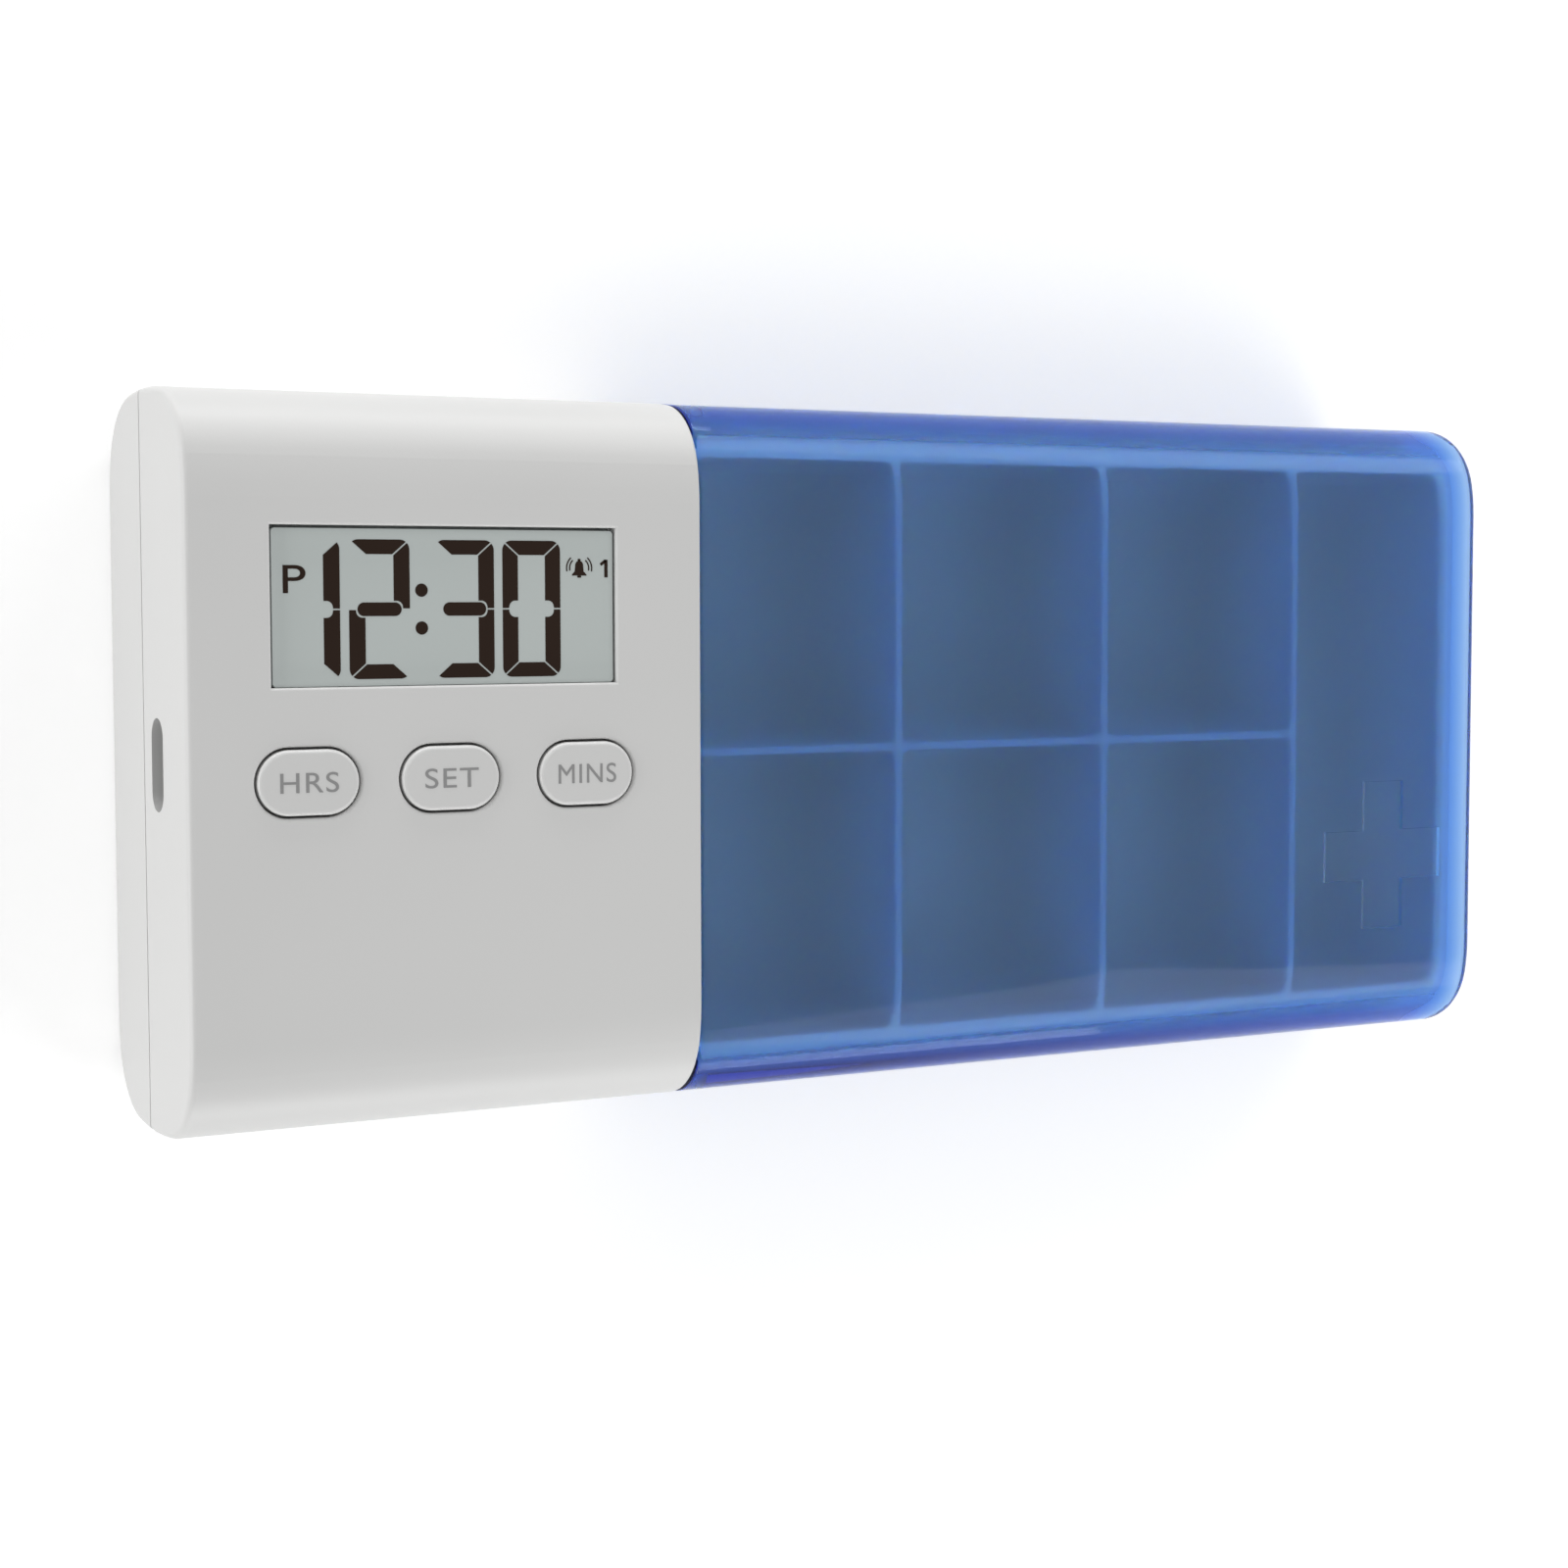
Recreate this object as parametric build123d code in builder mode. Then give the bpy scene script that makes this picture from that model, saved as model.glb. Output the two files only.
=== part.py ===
from build123d import *
import math
import os

# Electronic pill box lying on its back: length along X, width along Y, thickness along Z.
# The timer housing is at -X, the sleeve over the pill tray at +X, the display faces +Z.

# Rounded section that the housing and the sleeve share
face_ease_radius = 16.6
face_ease_angle = 11.2
edge_corner_radius = 6.75
side_crown_radius = 33.5

# Walls and fits
shell_wall = 2.0
sleeve_wall = 2.5
sleeve_end_wall = 2.0
fit_gap = 0.1
slide_gap = 0.05
seat_gap = 0.02
overrun = 1.0

# Two AAA cells side by side, lying along Y between their contacts
cell_diameter = 10.5
cell_length = 44.5
cell_side_gap = 1.0
cell_float = 0.3
cell_headroom = 0.2
contact_sheet = 0.3
contact_bump_height = 0.5
leaf_reach = 3.85
compartment_wall = 1.2
compartment_side_room = 2.05

# Board and display, stacked above the cells
ceiling_thickness = 0.8
board_clearance = 0.2
board_thickness = 1.0
display_shelf_height = 2.1
film_thickness = 0.2
glass_thickness = 0.9

# Display window and the glass behind it
window_length = 29.65
window_width = 12.75
window_offset_x = 0.63
window_edge_radius = 0.25
glass_border = 2.15
film_margin = 0.4
contact_ledge = 1.4
frame_wall = 0.85
frame_side_gap = 0.5
frame_boss_gap = 0.3

# Housing: parting line, screws, and the grooved mouth that holds the tray
parting_height = 9.5
parting_groove_width = 0.2
parting_groove_depth = 0.15
end_edge_radius = 0.5
joint_edge_radius = 0.25
tongue_wall = 1.0
tongue_height = 1.0
screw_radius = 1.0
case_screw_head_radius = 1.8
boss_wall = 0.4
boss_wall_gap = 0.95
boss_inner_gap = 0.8
boss_inset_y = 5.4
rib_thickness = 1.2
lip_thickness = 1.6
mouth_ring_depth = 1.4
flange_thickness = 1.2

# Tray and sleeve
tray_end_wall = 0.75
pill_cell_length = 21.4
last_cell_length = 17.55
divider_thickness = 0.7
tray_far_wall = 1.0
tray_side_wall = 1.3
tray_floor = 1.2
tray_clearance = 0.35
tray_rib_depth = 0.9
tray_rib_thickness = 1.2
cell_corner_radius = 0.8
cell_scoop_radius = 2.5
sleeve_end_gap = 0.5
sleeve_edge_radius = 1.8
mouth_edge_radius = 0.25
mouth_gap = 0.2
cell_columns = 3

# Heights that follow from the stack, counted up from the back
cell_axis_height = shell_wall + cell_float + cell_diameter / 2
ceiling_bottom = shell_wall + cell_float + cell_diameter + cell_headroom
ceiling_top = ceiling_bottom + ceiling_thickness
board_bottom = ceiling_top + board_clearance
board_top = board_bottom + board_thickness
reflector_bottom = board_top + display_shelf_height
rear_glass_bottom = reflector_bottom + film_thickness
front_glass_bottom = rear_glass_bottom + glass_thickness
front_film_bottom = front_glass_bottom + glass_thickness
front_inside = front_film_bottom + film_thickness
overall_thickness = front_inside + shell_wall
mid_height = overall_thickness / 2

# Widths that follow from the cells and their contacts, along Y
contact_room = 2 * contact_sheet + contact_bump_height + leaf_reach + slide_gap
compartment_width = cell_length + contact_room
overall_width = compartment_width + 2 * (compartment_wall + compartment_side_room + shell_wall)

# Lengths that follow from what lies side by side along X
boss_radius = case_screw_head_radius + fit_gap + boss_wall
boss_zone = compartment_wall + boss_inner_gap + 2 * boss_radius + boss_wall_gap
cell_spacing = cell_diameter + cell_side_gap
compartment_length = 2 * cell_spacing
battery_row = 2 * boss_zone + compartment_length
glass_length = window_length + 2 * glass_border
glass_width = window_width + 2 * glass_border
frame_length = glass_length + 2 * slide_gap + 2 * frame_wall
frame_width = glass_width + 2 * slide_gap + 2 * frame_wall
frame_row = frame_length + 2 * (frame_side_gap + window_offset_x)
interior_length = max(battery_row, frame_row)
mouth_length = rib_thickness + fit_gap + flange_thickness + fit_gap + lip_thickness
timer_length = shell_wall + interior_length + mouth_length
cells_length = cell_columns * (pill_cell_length + divider_thickness) + last_cell_length
tray_reach = tray_end_wall + cells_length + tray_far_wall - fit_gap - lip_thickness
overall_length = timer_length + tray_reach + sleeve_end_gap + sleeve_end_wall

# Places along X
left_end = -overall_length / 2
right_end = overall_length / 2
interior_start = left_end + shell_wall
rib_start = interior_start + interior_length
flange_start = rib_start + rib_thickness + fit_gap
flange_end = flange_start + flange_thickness
lip_start = flange_end + fit_gap
joint_face = lip_start + lip_thickness
tray_end = joint_face + tray_reach
first_cell_start = flange_end + tray_end_wall
last_cell_start = first_cell_start + cell_columns * (pill_cell_length + divider_thickness)
sleeve_mouth = joint_face + mouth_gap
interior_middle = interior_start + interior_length / 2
window_x = interior_middle + window_offset_x

# Case screws near the four corners of the housing, and the display frame between the upper two
boss_left_x = interior_start + boss_wall_gap + boss_radius
boss_right_x = interior_start + interior_length - boss_wall_gap - boss_radius
boss_y = overall_width / 2 - boss_inset_y
boss_places = [(x, y) for x in (boss_left_x, boss_right_x) for y in (-boss_y, boss_y)]
frame_high_y = boss_y - boss_radius - frame_boss_gap
window_center_y = frame_high_y - frame_width / 2

# Angles of the section's arcs
quarter_turn = 90
ease_turn = math.radians(face_ease_angle)
ease_step = face_ease_radius - edge_corner_radius
crown_step = side_crown_radius - edge_corner_radius
corner_rise = mid_height - face_ease_radius + ease_step * math.cos(ease_turn)
crown_turn = math.acos(corner_rise / crown_step)
crown_angle = math.degrees(crown_turn)
side_reach = overall_width / 2 - side_crown_radius + crown_step * math.sin(crown_turn)
flat_half_width = side_reach - ease_step * math.sin(ease_turn)


def across(x, y=0.0, z=0.0):
    """Plane across the case at x: its own X is the box's Y, its own Y is the box's Z."""
    return Plane((x, y, z), x_dir=(0, 1, 0), z_dir=(1, 0, 0))


def case_section(x, inset):
    """Rounded outline of the case at x, drawn in by inset."""
    ease_center = (flat_half_width, mid_height - face_ease_radius)
    corner_center = (side_reach, corner_rise)
    side_center = (overall_width / 2 - side_crown_radius, 0)
    with BuildSketch(across(x, z=mid_height)) as section:
        with BuildLine():
            Line((0, mid_height - inset), (flat_half_width, mid_height - inset))
            CenterArc(ease_center, face_ease_radius - inset, quarter_turn - face_ease_angle,
                      face_ease_angle)
            CenterArc(corner_center, edge_corner_radius - inset, quarter_turn - crown_angle,
                      crown_angle - face_ease_angle)
            CenterArc(side_center, side_crown_radius - inset, 0, quarter_turn - crown_angle)
            mirror(about=Plane.YZ)
            mirror(about=Plane.XZ)
        make_face()
    return section.sketch


def save(part, name):
    """Label a finished piece and write it to its file."""
    part.label = name
    export_step(part, f"parts/{name}.step")


os.makedirs("parts", exist_ok=True)

# Housing blank: one hollow case, later divided at the parting line
mouth_inset = shell_wall + mouth_ring_depth
hollow_steps = [
    (interior_start, interior_length, shell_wall),
    (rib_start, rib_thickness, mouth_inset),
    (rib_start + rib_thickness, flange_thickness + 2 * fit_gap, shell_wall),
    (lip_start, lip_thickness + overrun, mouth_inset),
]

with BuildPart() as blank:
    extrude(case_section(left_end, 0), amount=timer_length)
    fillet(blank.faces().sort_by(Axis.X)[0].edges(), radius=end_edge_radius)
    fillet(blank.faces().sort_by(Axis.X)[-1].edges(), radius=joint_edge_radius)
    for step_start, step_length, step_inset in hollow_steps:
        extrude(case_section(step_start, step_inset), amount=step_length, mode=Mode.SUBTRACT)


def parting_tongue(inset, height):
    """Ring that stands on the back shell's rim and locates the front shell."""
    tongue_length = rib_start - left_end - inset
    with BuildPart() as tongue:
        extrude(case_section(left_end + inset, inset), amount=tongue_length)
        extrude(case_section(interior_start, shell_wall), amount=interior_length + overrun,
                mode=Mode.SUBTRACT)
        split(bisect_by=Plane.XY.offset(parting_height), keep=Keep.TOP)
        split(bisect_by=Plane.XY.offset(parting_height + height), keep=Keep.BOTTOM)
    return tongue.part


tongue_ring = parting_tongue(tongue_wall, tongue_height)
tongue_rebate = parting_tongue(tongue_wall - fit_gap, tongue_height + fit_gap)

# Fine groove round the outside where the two shells meet
with BuildPart() as groove_core:
    extrude(case_section(left_end + parting_groove_depth, parting_groove_depth), amount=timer_length)
    fillet(groove_core.faces().sort_by(Axis.X)[0].edges(), radius=end_edge_radius - parting_groove_depth)
with BuildPart() as parting_groove:
    extrude(case_section(left_end, 0), amount=timer_length)
    add(groove_core.part, mode=Mode.SUBTRACT)
    split(bisect_by=Plane.XY.offset(parting_height - parting_groove_width / 2), keep=Keep.TOP)
    split(bisect_by=Plane.XY.offset(parting_height + parting_groove_width / 2), keep=Keep.BOTTOM)

# Sounder behind the outlet slot of the end wall, below the display frame's lower edge
outlet_height = 13.25
outlet_length = 7.5
outlet_width = 3.15
outlet_drop = 3.15
outlet_y = window_center_y - frame_width / 2 - outlet_drop
sounder_radius = 3.7
sounder_length = 3.5
sounder_drop = 0.95
cradle_wall = 0.8
cradle_length = 1.6
sounder_height = outlet_height - sounder_drop
cradle_outer = sounder_radius + fit_gap + cradle_wall

# Buttons in a row under the display, each with a flange that stays behind the front wall
button_names = ("hour", "mode", "minute")
button_length = 8.35
button_width = 5.2
button_gap = 0.2
button_proud = 0.25
button_travel = 0.5
flange_rim = 0.6
flange_side_gap = 2.0
flange_frame_gap = 1.0
flange_overhang = button_gap + flange_rim
button_spacing = button_length + 2 * flange_overhang + flange_side_gap
button_y = window_center_y - frame_width / 2 - flange_frame_gap - flange_overhang - button_width / 2
button_places = [(window_x + turn * button_spacing, button_y) for turn in (-1, 0, 1)]

# Screws
case_screw_head_height = 1.3
case_screw_seat = 3.4
case_screw_length = 11.5
board_screw_head_radius = 1.6
board_screw_head_height = 0.9
board_screw_reach = 3.2
pilot_spare = 0.6
drive_slot_length = 2.0
drive_slot_width = 0.45
drive_slot_depth = 0.5

# Board: from near the end wall to near the tray's flange, held by two screws beside the compartment
board_start_gap = 0.6
board_end_gap = 0.8
board_boss_radius = 2.0
board_boss_drop = 8.0
board_screw_gap = 0.65
board_start = interior_start + board_start_gap
board_end = flange_start - board_end_gap
board_boss_y = button_y - board_boss_drop
board_boss_reach = compartment_length / 2 + compartment_wall + board_screw_gap + board_screw_head_radius
board_boss_places = [(interior_middle + side * board_boss_reach, board_boss_y) for side in (-1, 1)]

# Front shell: display window, button holes, outlet slot and screw bosses
with BuildPart() as front_shell:
    add(blank.part)
    with BuildSketch(across(interior_start, outlet_y, sounder_height)):
        Circle(cradle_outer)
        Circle(sounder_radius + fit_gap, mode=Mode.SUBTRACT)
    extrude(amount=cradle_length)
    split(bisect_by=Plane.XY.offset(parting_height), keep=Keep.TOP)
    add(tongue_rebate, mode=Mode.SUBTRACT)
    with BuildSketch(Plane.XY.offset(parting_height)):
        with Locations(*boss_places):
            Circle(boss_radius)
    extrude(amount=front_inside - parting_height + shell_wall)
    with BuildSketch(Plane.XY.offset(board_top)):
        with Locations(*board_boss_places):
            Circle(board_boss_radius)
    extrude(amount=front_inside - board_top)
    extrude(case_section(left_end, 0), amount=timer_length, mode=Mode.INTERSECT)
    with BuildSketch(Plane.XY.offset(overall_thickness)):
        with Locations((window_x, window_center_y)):
            Rectangle(window_length, window_width)
        with Locations(*button_places):
            SlotOverall(button_length + 2 * button_gap, button_width + 2 * button_gap)
    extrude(amount=-shell_wall - overrun, mode=Mode.SUBTRACT)
    rims = front_shell.faces().filter_by(Axis.Z).sort_by(Axis.Z)[-1].inner_wires()
    fillet([edge for rim in rims for edge in rim.edges()], radius=window_edge_radius)
    with BuildSketch(across(left_end, outlet_y, outlet_height)):
        SlotOverall(outlet_length, outlet_width)
    extrude(amount=shell_wall, mode=Mode.SUBTRACT)
    with BuildSketch(Plane.XY.offset(parting_height)):
        with Locations(*boss_places):
            Circle(screw_radius + seat_gap)
    extrude(amount=case_screw_seat + case_screw_length + pilot_spare - parting_height, mode=Mode.SUBTRACT)
    add(parting_groove.part, mode=Mode.SUBTRACT)
    with BuildSketch(Plane.XY.offset(board_top)):
        with Locations(*board_boss_places):
            Circle(screw_radius + seat_gap)
    extrude(amount=board_screw_reach + pilot_spare, mode=Mode.SUBTRACT)
save(front_shell.part, "front_shell")

# Battery compartment, between the bosses, and the door that closes it from the back
contact_wall_y = compartment_width / 2
tab_width = 4.0
tab_slot_gap = 0.15
cell_places = [interior_middle - cell_spacing / 2, interior_middle + cell_spacing / 2]
door_gap = 0.15
door_edge_room = 4.15
door_end_height = 5.0
door_edge_y = contact_wall_y - door_edge_room
door_length = compartment_length - 2 * door_gap
rail_depth = 0.8
rail_thickness = 0.8
rail_gap = 0.1
rail_bend_gap = 2.1
rail_end_y = rail_bend_gap - flat_half_width
rail_bottom = shell_wall - rail_thickness
grip_length = 12.0
grip_width = 0.9
grip_depth = 0.4
grip_spacing = 2.2
grip_count = 4
grip_rail_gap = 7.0
grip_center_y = rail_end_y + grip_rail_gap


def door_band(gap):
    """Stretch of the case wall that the battery door fills, wider by gap all round."""
    band_length = door_length + 2 * gap
    reach_y = overall_width / 2 + door_edge_y + gap + overrun
    with BuildPart() as band:
        extrude(case_section(interior_middle - band_length / 2, 0), amount=band_length)
        extrude(case_section(interior_middle - band_length / 2, shell_wall + gap), amount=band_length,
                mode=Mode.SUBTRACT)
        with BuildSketch(Plane.XY):
            with Locations((interior_middle, door_edge_y + gap - reach_y / 2)):
                Rectangle(band_length, reach_y)
        extrude(amount=door_end_height + gap, mode=Mode.INTERSECT)
    return band.part


door_plate = door_band(0)
door_opening = door_band(door_gap)

# Back shell: battery compartment, door opening with its grooves, screw bosses
with BuildPart() as back_shell:
    add(blank.part)
    with BuildSketch(across(interior_start, outlet_y, sounder_height)):
        Circle(cradle_outer)
        Circle(sounder_radius + fit_gap, mode=Mode.SUBTRACT)
    extrude(amount=cradle_length)
    split(bisect_by=Plane.XY.offset(parting_height), keep=Keep.BOTTOM)
    add(tongue_ring)
    with BuildSketch(Plane.XY):
        with Locations(*boss_places):
            Circle(boss_radius)
    extrude(amount=parting_height)
    with BuildSketch(Plane.XY):
        with Locations((interior_middle, 0)):
            Rectangle(compartment_length + 2 * compartment_wall, compartment_width + 2 * compartment_wall)
    extrude(amount=ceiling_top)
    extrude(case_section(left_end, 0), amount=timer_length, mode=Mode.INTERSECT)
    with BuildSketch(Plane.XY.offset(shell_wall)):
        with Locations((interior_middle, 0)):
            Rectangle(compartment_length, compartment_width)
    extrude(amount=ceiling_bottom - shell_wall, mode=Mode.SUBTRACT)
    with BuildSketch(Plane.XY.offset(ceiling_bottom)):
        with Locations(*[(x, contact_wall_y - contact_sheet / 2) for x in cell_places]):
            Rectangle(tab_width + 2 * tab_slot_gap, contact_sheet + 2 * tab_slot_gap)
    extrude(amount=ceiling_thickness, mode=Mode.SUBTRACT)
    add(door_opening, mode=Mode.SUBTRACT)
    groove_reach = overall_width / 2 + overrun + door_edge_y + rail_depth + rail_gap
    with BuildSketch(Plane.XY.offset(rail_bottom - rail_gap)):
        with Locations((interior_middle, door_edge_y + rail_depth + rail_gap - groove_reach / 2)):
            Rectangle(door_length + 2 * (rail_depth + rail_gap), groove_reach)
    extrude(amount=rail_thickness + 2 * rail_gap, mode=Mode.SUBTRACT)
    with BuildSketch(Plane.XY):
        with Locations(*boss_places):
            Circle(case_screw_head_radius + fit_gap)
    extrude(amount=case_screw_seat, mode=Mode.SUBTRACT)
    with BuildSketch(Plane.XY):
        with Locations(*boss_places):
            Circle(screw_radius + fit_gap)
    extrude(amount=parting_height, mode=Mode.SUBTRACT)
    add(parting_groove.part, mode=Mode.SUBTRACT)
save(back_shell.part, "back_shell")

# Battery door: wall plate round one long edge, with rails on three sides and grip grooves
rail_length_y = door_edge_y + rail_depth - rail_end_y
with BuildPart() as battery_door:
    add(door_plate)
    with BuildSketch(Plane.XY.offset(rail_bottom)):
        with Locations((interior_middle, rail_end_y + rail_length_y / 2)):
            Rectangle(door_length + 2 * rail_depth, rail_length_y)
    extrude(amount=rail_thickness)
    with BuildSketch(Plane.XY):
        with Locations((interior_middle, grip_center_y)):
            with GridLocations(grip_length, grip_spacing, 1, grip_count):
                SlotOverall(grip_length, grip_width)
    extrude(amount=grip_depth, mode=Mode.SUBTRACT)
save(battery_door.part, "battery_door")

# Pill tray: flange and neck held by the housing's mouth, then the cells
tray_inset = sleeve_wall + tray_clearance
tray_length = tray_end - joint_face
tray_middle = joint_face + tray_length / 2
tray_half_width = overall_width / 2 - tray_inset - tray_rib_depth
side_cut = tray_rib_depth + tray_inset + overrun
cell_floor_height = tray_inset + tray_floor
cell_half_width = tray_half_width - tray_side_wall
pill_cell_width = cell_half_width - divider_thickness / 2
pill_cell_y = divider_thickness / 2 + pill_cell_width / 2
cell_step = pill_cell_length + divider_thickness
pill_cell_places = [
    (first_cell_start + pill_cell_length / 2 + column * cell_step, side * pill_cell_y)
    for column in range(cell_columns)
    for side in (-1, 1)
]
last_cell_place = (last_cell_start + last_cell_length / 2, 0)
catch_radius = 0.6
catch_height = 0.2
catch_offset = 4.0
catch_x = joint_face + catch_offset
rib_face_y = tray_half_width + tray_rib_depth

# Hollows of the seven tray cells, scooped at the floor
with BuildPart() as cell_hollows:
    with BuildSketch(Plane.XY.offset(cell_floor_height)):
        with Locations(*pill_cell_places):
            Rectangle(pill_cell_length, pill_cell_width)
        with Locations(last_cell_place):
            Rectangle(last_cell_length, 2 * cell_half_width)
    extrude(amount=overall_thickness - cell_floor_height)
    fillet(cell_hollows.edges().group_by(Axis.Z)[0], radius=cell_scoop_radius)
    fillet(cell_hollows.edges().filter_by(Axis.Z), radius=cell_corner_radius)

with BuildPart() as pill_tray:
    extrude(case_section(joint_face, tray_inset), amount=tray_length)
    with BuildSketch(Plane.XY):
        with Locations(*[(tray_middle, side * (tray_half_width + side_cut / 2)) for side in (-1, 1)]):
            Rectangle(tray_length, side_cut)
    extrude(amount=overall_thickness, mode=Mode.SUBTRACT)
    with BuildSketch(Plane.XY.offset(mid_height - tray_rib_thickness / 2)):
        with Locations((tray_middle, 0)):
            Rectangle(tray_length, 2 * rib_face_y)
        with Locations(*[(catch_x, side * (rib_face_y - catch_radius + catch_height)) for side in (-1, 1)]):
            Circle(catch_radius)
    extrude(amount=tray_rib_thickness)
    extrude(case_section(flange_start, shell_wall + fit_gap), amount=flange_thickness)
    extrude(case_section(flange_end, mouth_inset + fit_gap), amount=joint_face - flange_end)
    add(cell_hollows.part, mode=Mode.SUBTRACT)
save(pill_tray.part, "pill_tray")

# Sleeve: closed at its far end, with a recessed cross and two catch notches
cross_span = 14.3
cross_arm = 4.8
cross_depth = 0.4
cross_from_end = 12.0
cross_y = -11.9
with BuildPart() as sleeve:
    extrude(case_section(sleeve_mouth, 0), amount=right_end - sleeve_mouth)
    fillet(sleeve.faces().sort_by(Axis.X)[-1].edges(), radius=sleeve_edge_radius)
    fillet(sleeve.faces().sort_by(Axis.X)[0].edges(), radius=mouth_edge_radius)
    extrude(case_section(sleeve_mouth, sleeve_wall), amount=right_end - sleeve_end_wall - sleeve_mouth,
            mode=Mode.SUBTRACT)
    with BuildSketch(Plane.XY.offset(overall_thickness)):
        with Locations((right_end - cross_from_end, cross_y)):
            Rectangle(cross_span, cross_arm)
            Rectangle(cross_arm, cross_span)
    extrude(amount=-cross_depth, mode=Mode.SUBTRACT)
    with BuildSketch(Plane.XY.offset(mid_height - tray_rib_thickness)):
        with Locations(*[(catch_x, side * (overall_width / 2 - sleeve_wall)) for side in (-1, 1)]):
            Circle(catch_radius)
    extrude(amount=2 * tray_rib_thickness, mode=Mode.SUBTRACT)
save(sleeve.part, "sleeve")

# Buttons: oval caps with a flange under the front wall and a stem down to the plunger
button_flange_thickness = 0.9
button_edge_radius = 0.35
stem_radius = 1.5
switch_size = 4.5
switch_body_height = 2.0
switch_floor = 0.2
switch_edge = 0.3
plunger_radius = 1.15
plunger_rise = 0.9
dome_thickness = 0.1
flange_top = front_inside - slide_gap
flange_bottom = flange_top - button_flange_thickness
plunger_top = board_top + switch_body_height + plunger_rise
plunger_bottom = board_top + switch_floor + dome_thickness + button_travel + fit_gap

for button_name, button_place in zip(button_names, button_places):
    with BuildPart() as button:
        with BuildSketch(Plane.XY.offset(flange_bottom)):
            with Locations(button_place):
                SlotOverall(button_length, button_width)
        extrude(amount=overall_thickness + button_proud - flange_bottom)
        fillet(button.faces().sort_by(Axis.Z)[-1].edges(), radius=button_edge_radius)
        with BuildSketch(Plane.XY.offset(flange_bottom)):
            with Locations(button_place):
                SlotOverall(button_length + 2 * flange_overhang, button_width + 2 * flange_overhang)
        extrude(amount=button_flange_thickness)
        with BuildSketch(Plane.XY.offset(plunger_top)):
            with Locations(button_place):
                Circle(stem_radius)
        extrude(amount=flange_bottom - plunger_top)
    save(button.part, f"{button_name}_button")

    with BuildPart() as plunger:
        with BuildSketch(Plane.XY.offset(plunger_bottom)):
            with Locations(button_place):
                Circle(plunger_radius)
        extrude(amount=plunger_top - plunger_bottom)
    save(plunger.part, f"{button_name}_plunger")

    with BuildPart() as switch:
        with BuildSketch(Plane.XY.offset(board_top)):
            with Locations(button_place):
                RectangleRounded(switch_size, switch_size, switch_edge)
        extrude(amount=switch_body_height)
        with BuildSketch(Plane.XY.offset(board_top + switch_floor)):
            with Locations(button_place):
                Circle(plunger_radius + slide_gap)
        extrude(amount=switch_body_height - switch_floor, mode=Mode.SUBTRACT)
    save(switch.part, f"{button_name}_switch")

# Snap domes on the floors of the three switches
with BuildPart() as switch_domes:
    with BuildSketch(Plane.XY.offset(board_top + switch_floor)):
        with Locations(*button_places):
            Circle(plunger_radius)
    extrude(amount=dome_thickness)
save(switch_domes.part, "switch_domes")

# Display: two glasses between two polarising films, the front glass wider by its contact ledge
rear_glass_width = glass_width - contact_ledge
rear_glass_y = window_center_y + contact_ledge / 2
display_layers = [
    ("display_reflector", reflector_bottom, film_thickness, glass_length - 2 * film_margin,
     rear_glass_width - 2 * film_margin, rear_glass_y),
    ("display_rear_glass", rear_glass_bottom, glass_thickness, glass_length, rear_glass_width, rear_glass_y),
    ("display_front_glass", front_glass_bottom, glass_thickness, glass_length, glass_width, window_center_y),
    ("display_front_film", front_film_bottom, film_thickness, glass_length - 2 * film_margin,
     glass_width - 2 * film_margin, window_center_y),
]
for layer_name, layer_bottom, layer_thickness, layer_length, layer_width, layer_y in display_layers:
    with BuildPart() as layer:
        with BuildSketch(Plane.XY.offset(layer_bottom)):
            with Locations((window_x, layer_y)):
                Rectangle(layer_length, layer_width)
        extrude(amount=layer_thickness)
    save(layer.part, layer_name)

# Display frame: pocket for the glass, a slot for the contact strip and four pegs through the board
strip_length = 30.0
strip_width = 1.0
strip_edge = 0.25
strip_bar = 0.8
shelf_width = 1.6
peg_radius = 0.75
peg_inset = 1.4
peg_row_half = 6.5
glass_bottom_y = window_center_y - glass_width / 2
strip_y = glass_bottom_y + strip_edge + strip_width / 2
light_well_start = strip_y + strip_width / 2 + strip_bar
light_well_width = window_center_y + glass_width / 2 - shelf_width - light_well_start
peg_places = [
    (window_x + side * (frame_length / 2 - peg_inset), window_center_y + row * peg_row_half)
    for side in (-1, 1)
    for row in (-1, 1)
]
with BuildPart() as display_frame:
    with BuildSketch(Plane.XY.offset(board_top)):
        with Locations((window_x, window_center_y)):
            Rectangle(frame_length, frame_width)
    extrude(amount=front_inside - slide_gap - board_top)
    with BuildSketch(Plane.XY.offset(reflector_bottom)):
        with Locations((window_x, window_center_y)):
            Rectangle(glass_length + 2 * slide_gap, glass_width + 2 * slide_gap)
    extrude(amount=front_inside - reflector_bottom, mode=Mode.SUBTRACT)
    with BuildSketch(Plane.XY.offset(board_top)):
        with Locations((window_x, strip_y)):
            Rectangle(strip_length + 2 * slide_gap, strip_width + 2 * slide_gap)
        with Locations((window_x, light_well_start + light_well_width / 2)):
            Rectangle(strip_length + 2 * slide_gap, light_well_width)
    extrude(amount=display_shelf_height, mode=Mode.SUBTRACT)
    with BuildSketch(Plane.XY.offset(board_bottom)):
        with Locations(*peg_places):
            Circle(peg_radius)
    extrude(amount=board_thickness)
    extrude(case_section(interior_start, shell_wall + fit_gap), amount=interior_length, mode=Mode.INTERSECT)
save(display_frame.part, "display_frame")

# Rubber contact strip between the board and the ledge of the front glass
with BuildPart() as contact_strip:
    with BuildSketch(Plane.XY.offset(board_top)):
        with Locations((window_x, strip_y)):
            Rectangle(strip_length, strip_width)
    extrude(amount=front_glass_bottom - board_top)
save(contact_strip.part, "contact_strip")

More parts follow.
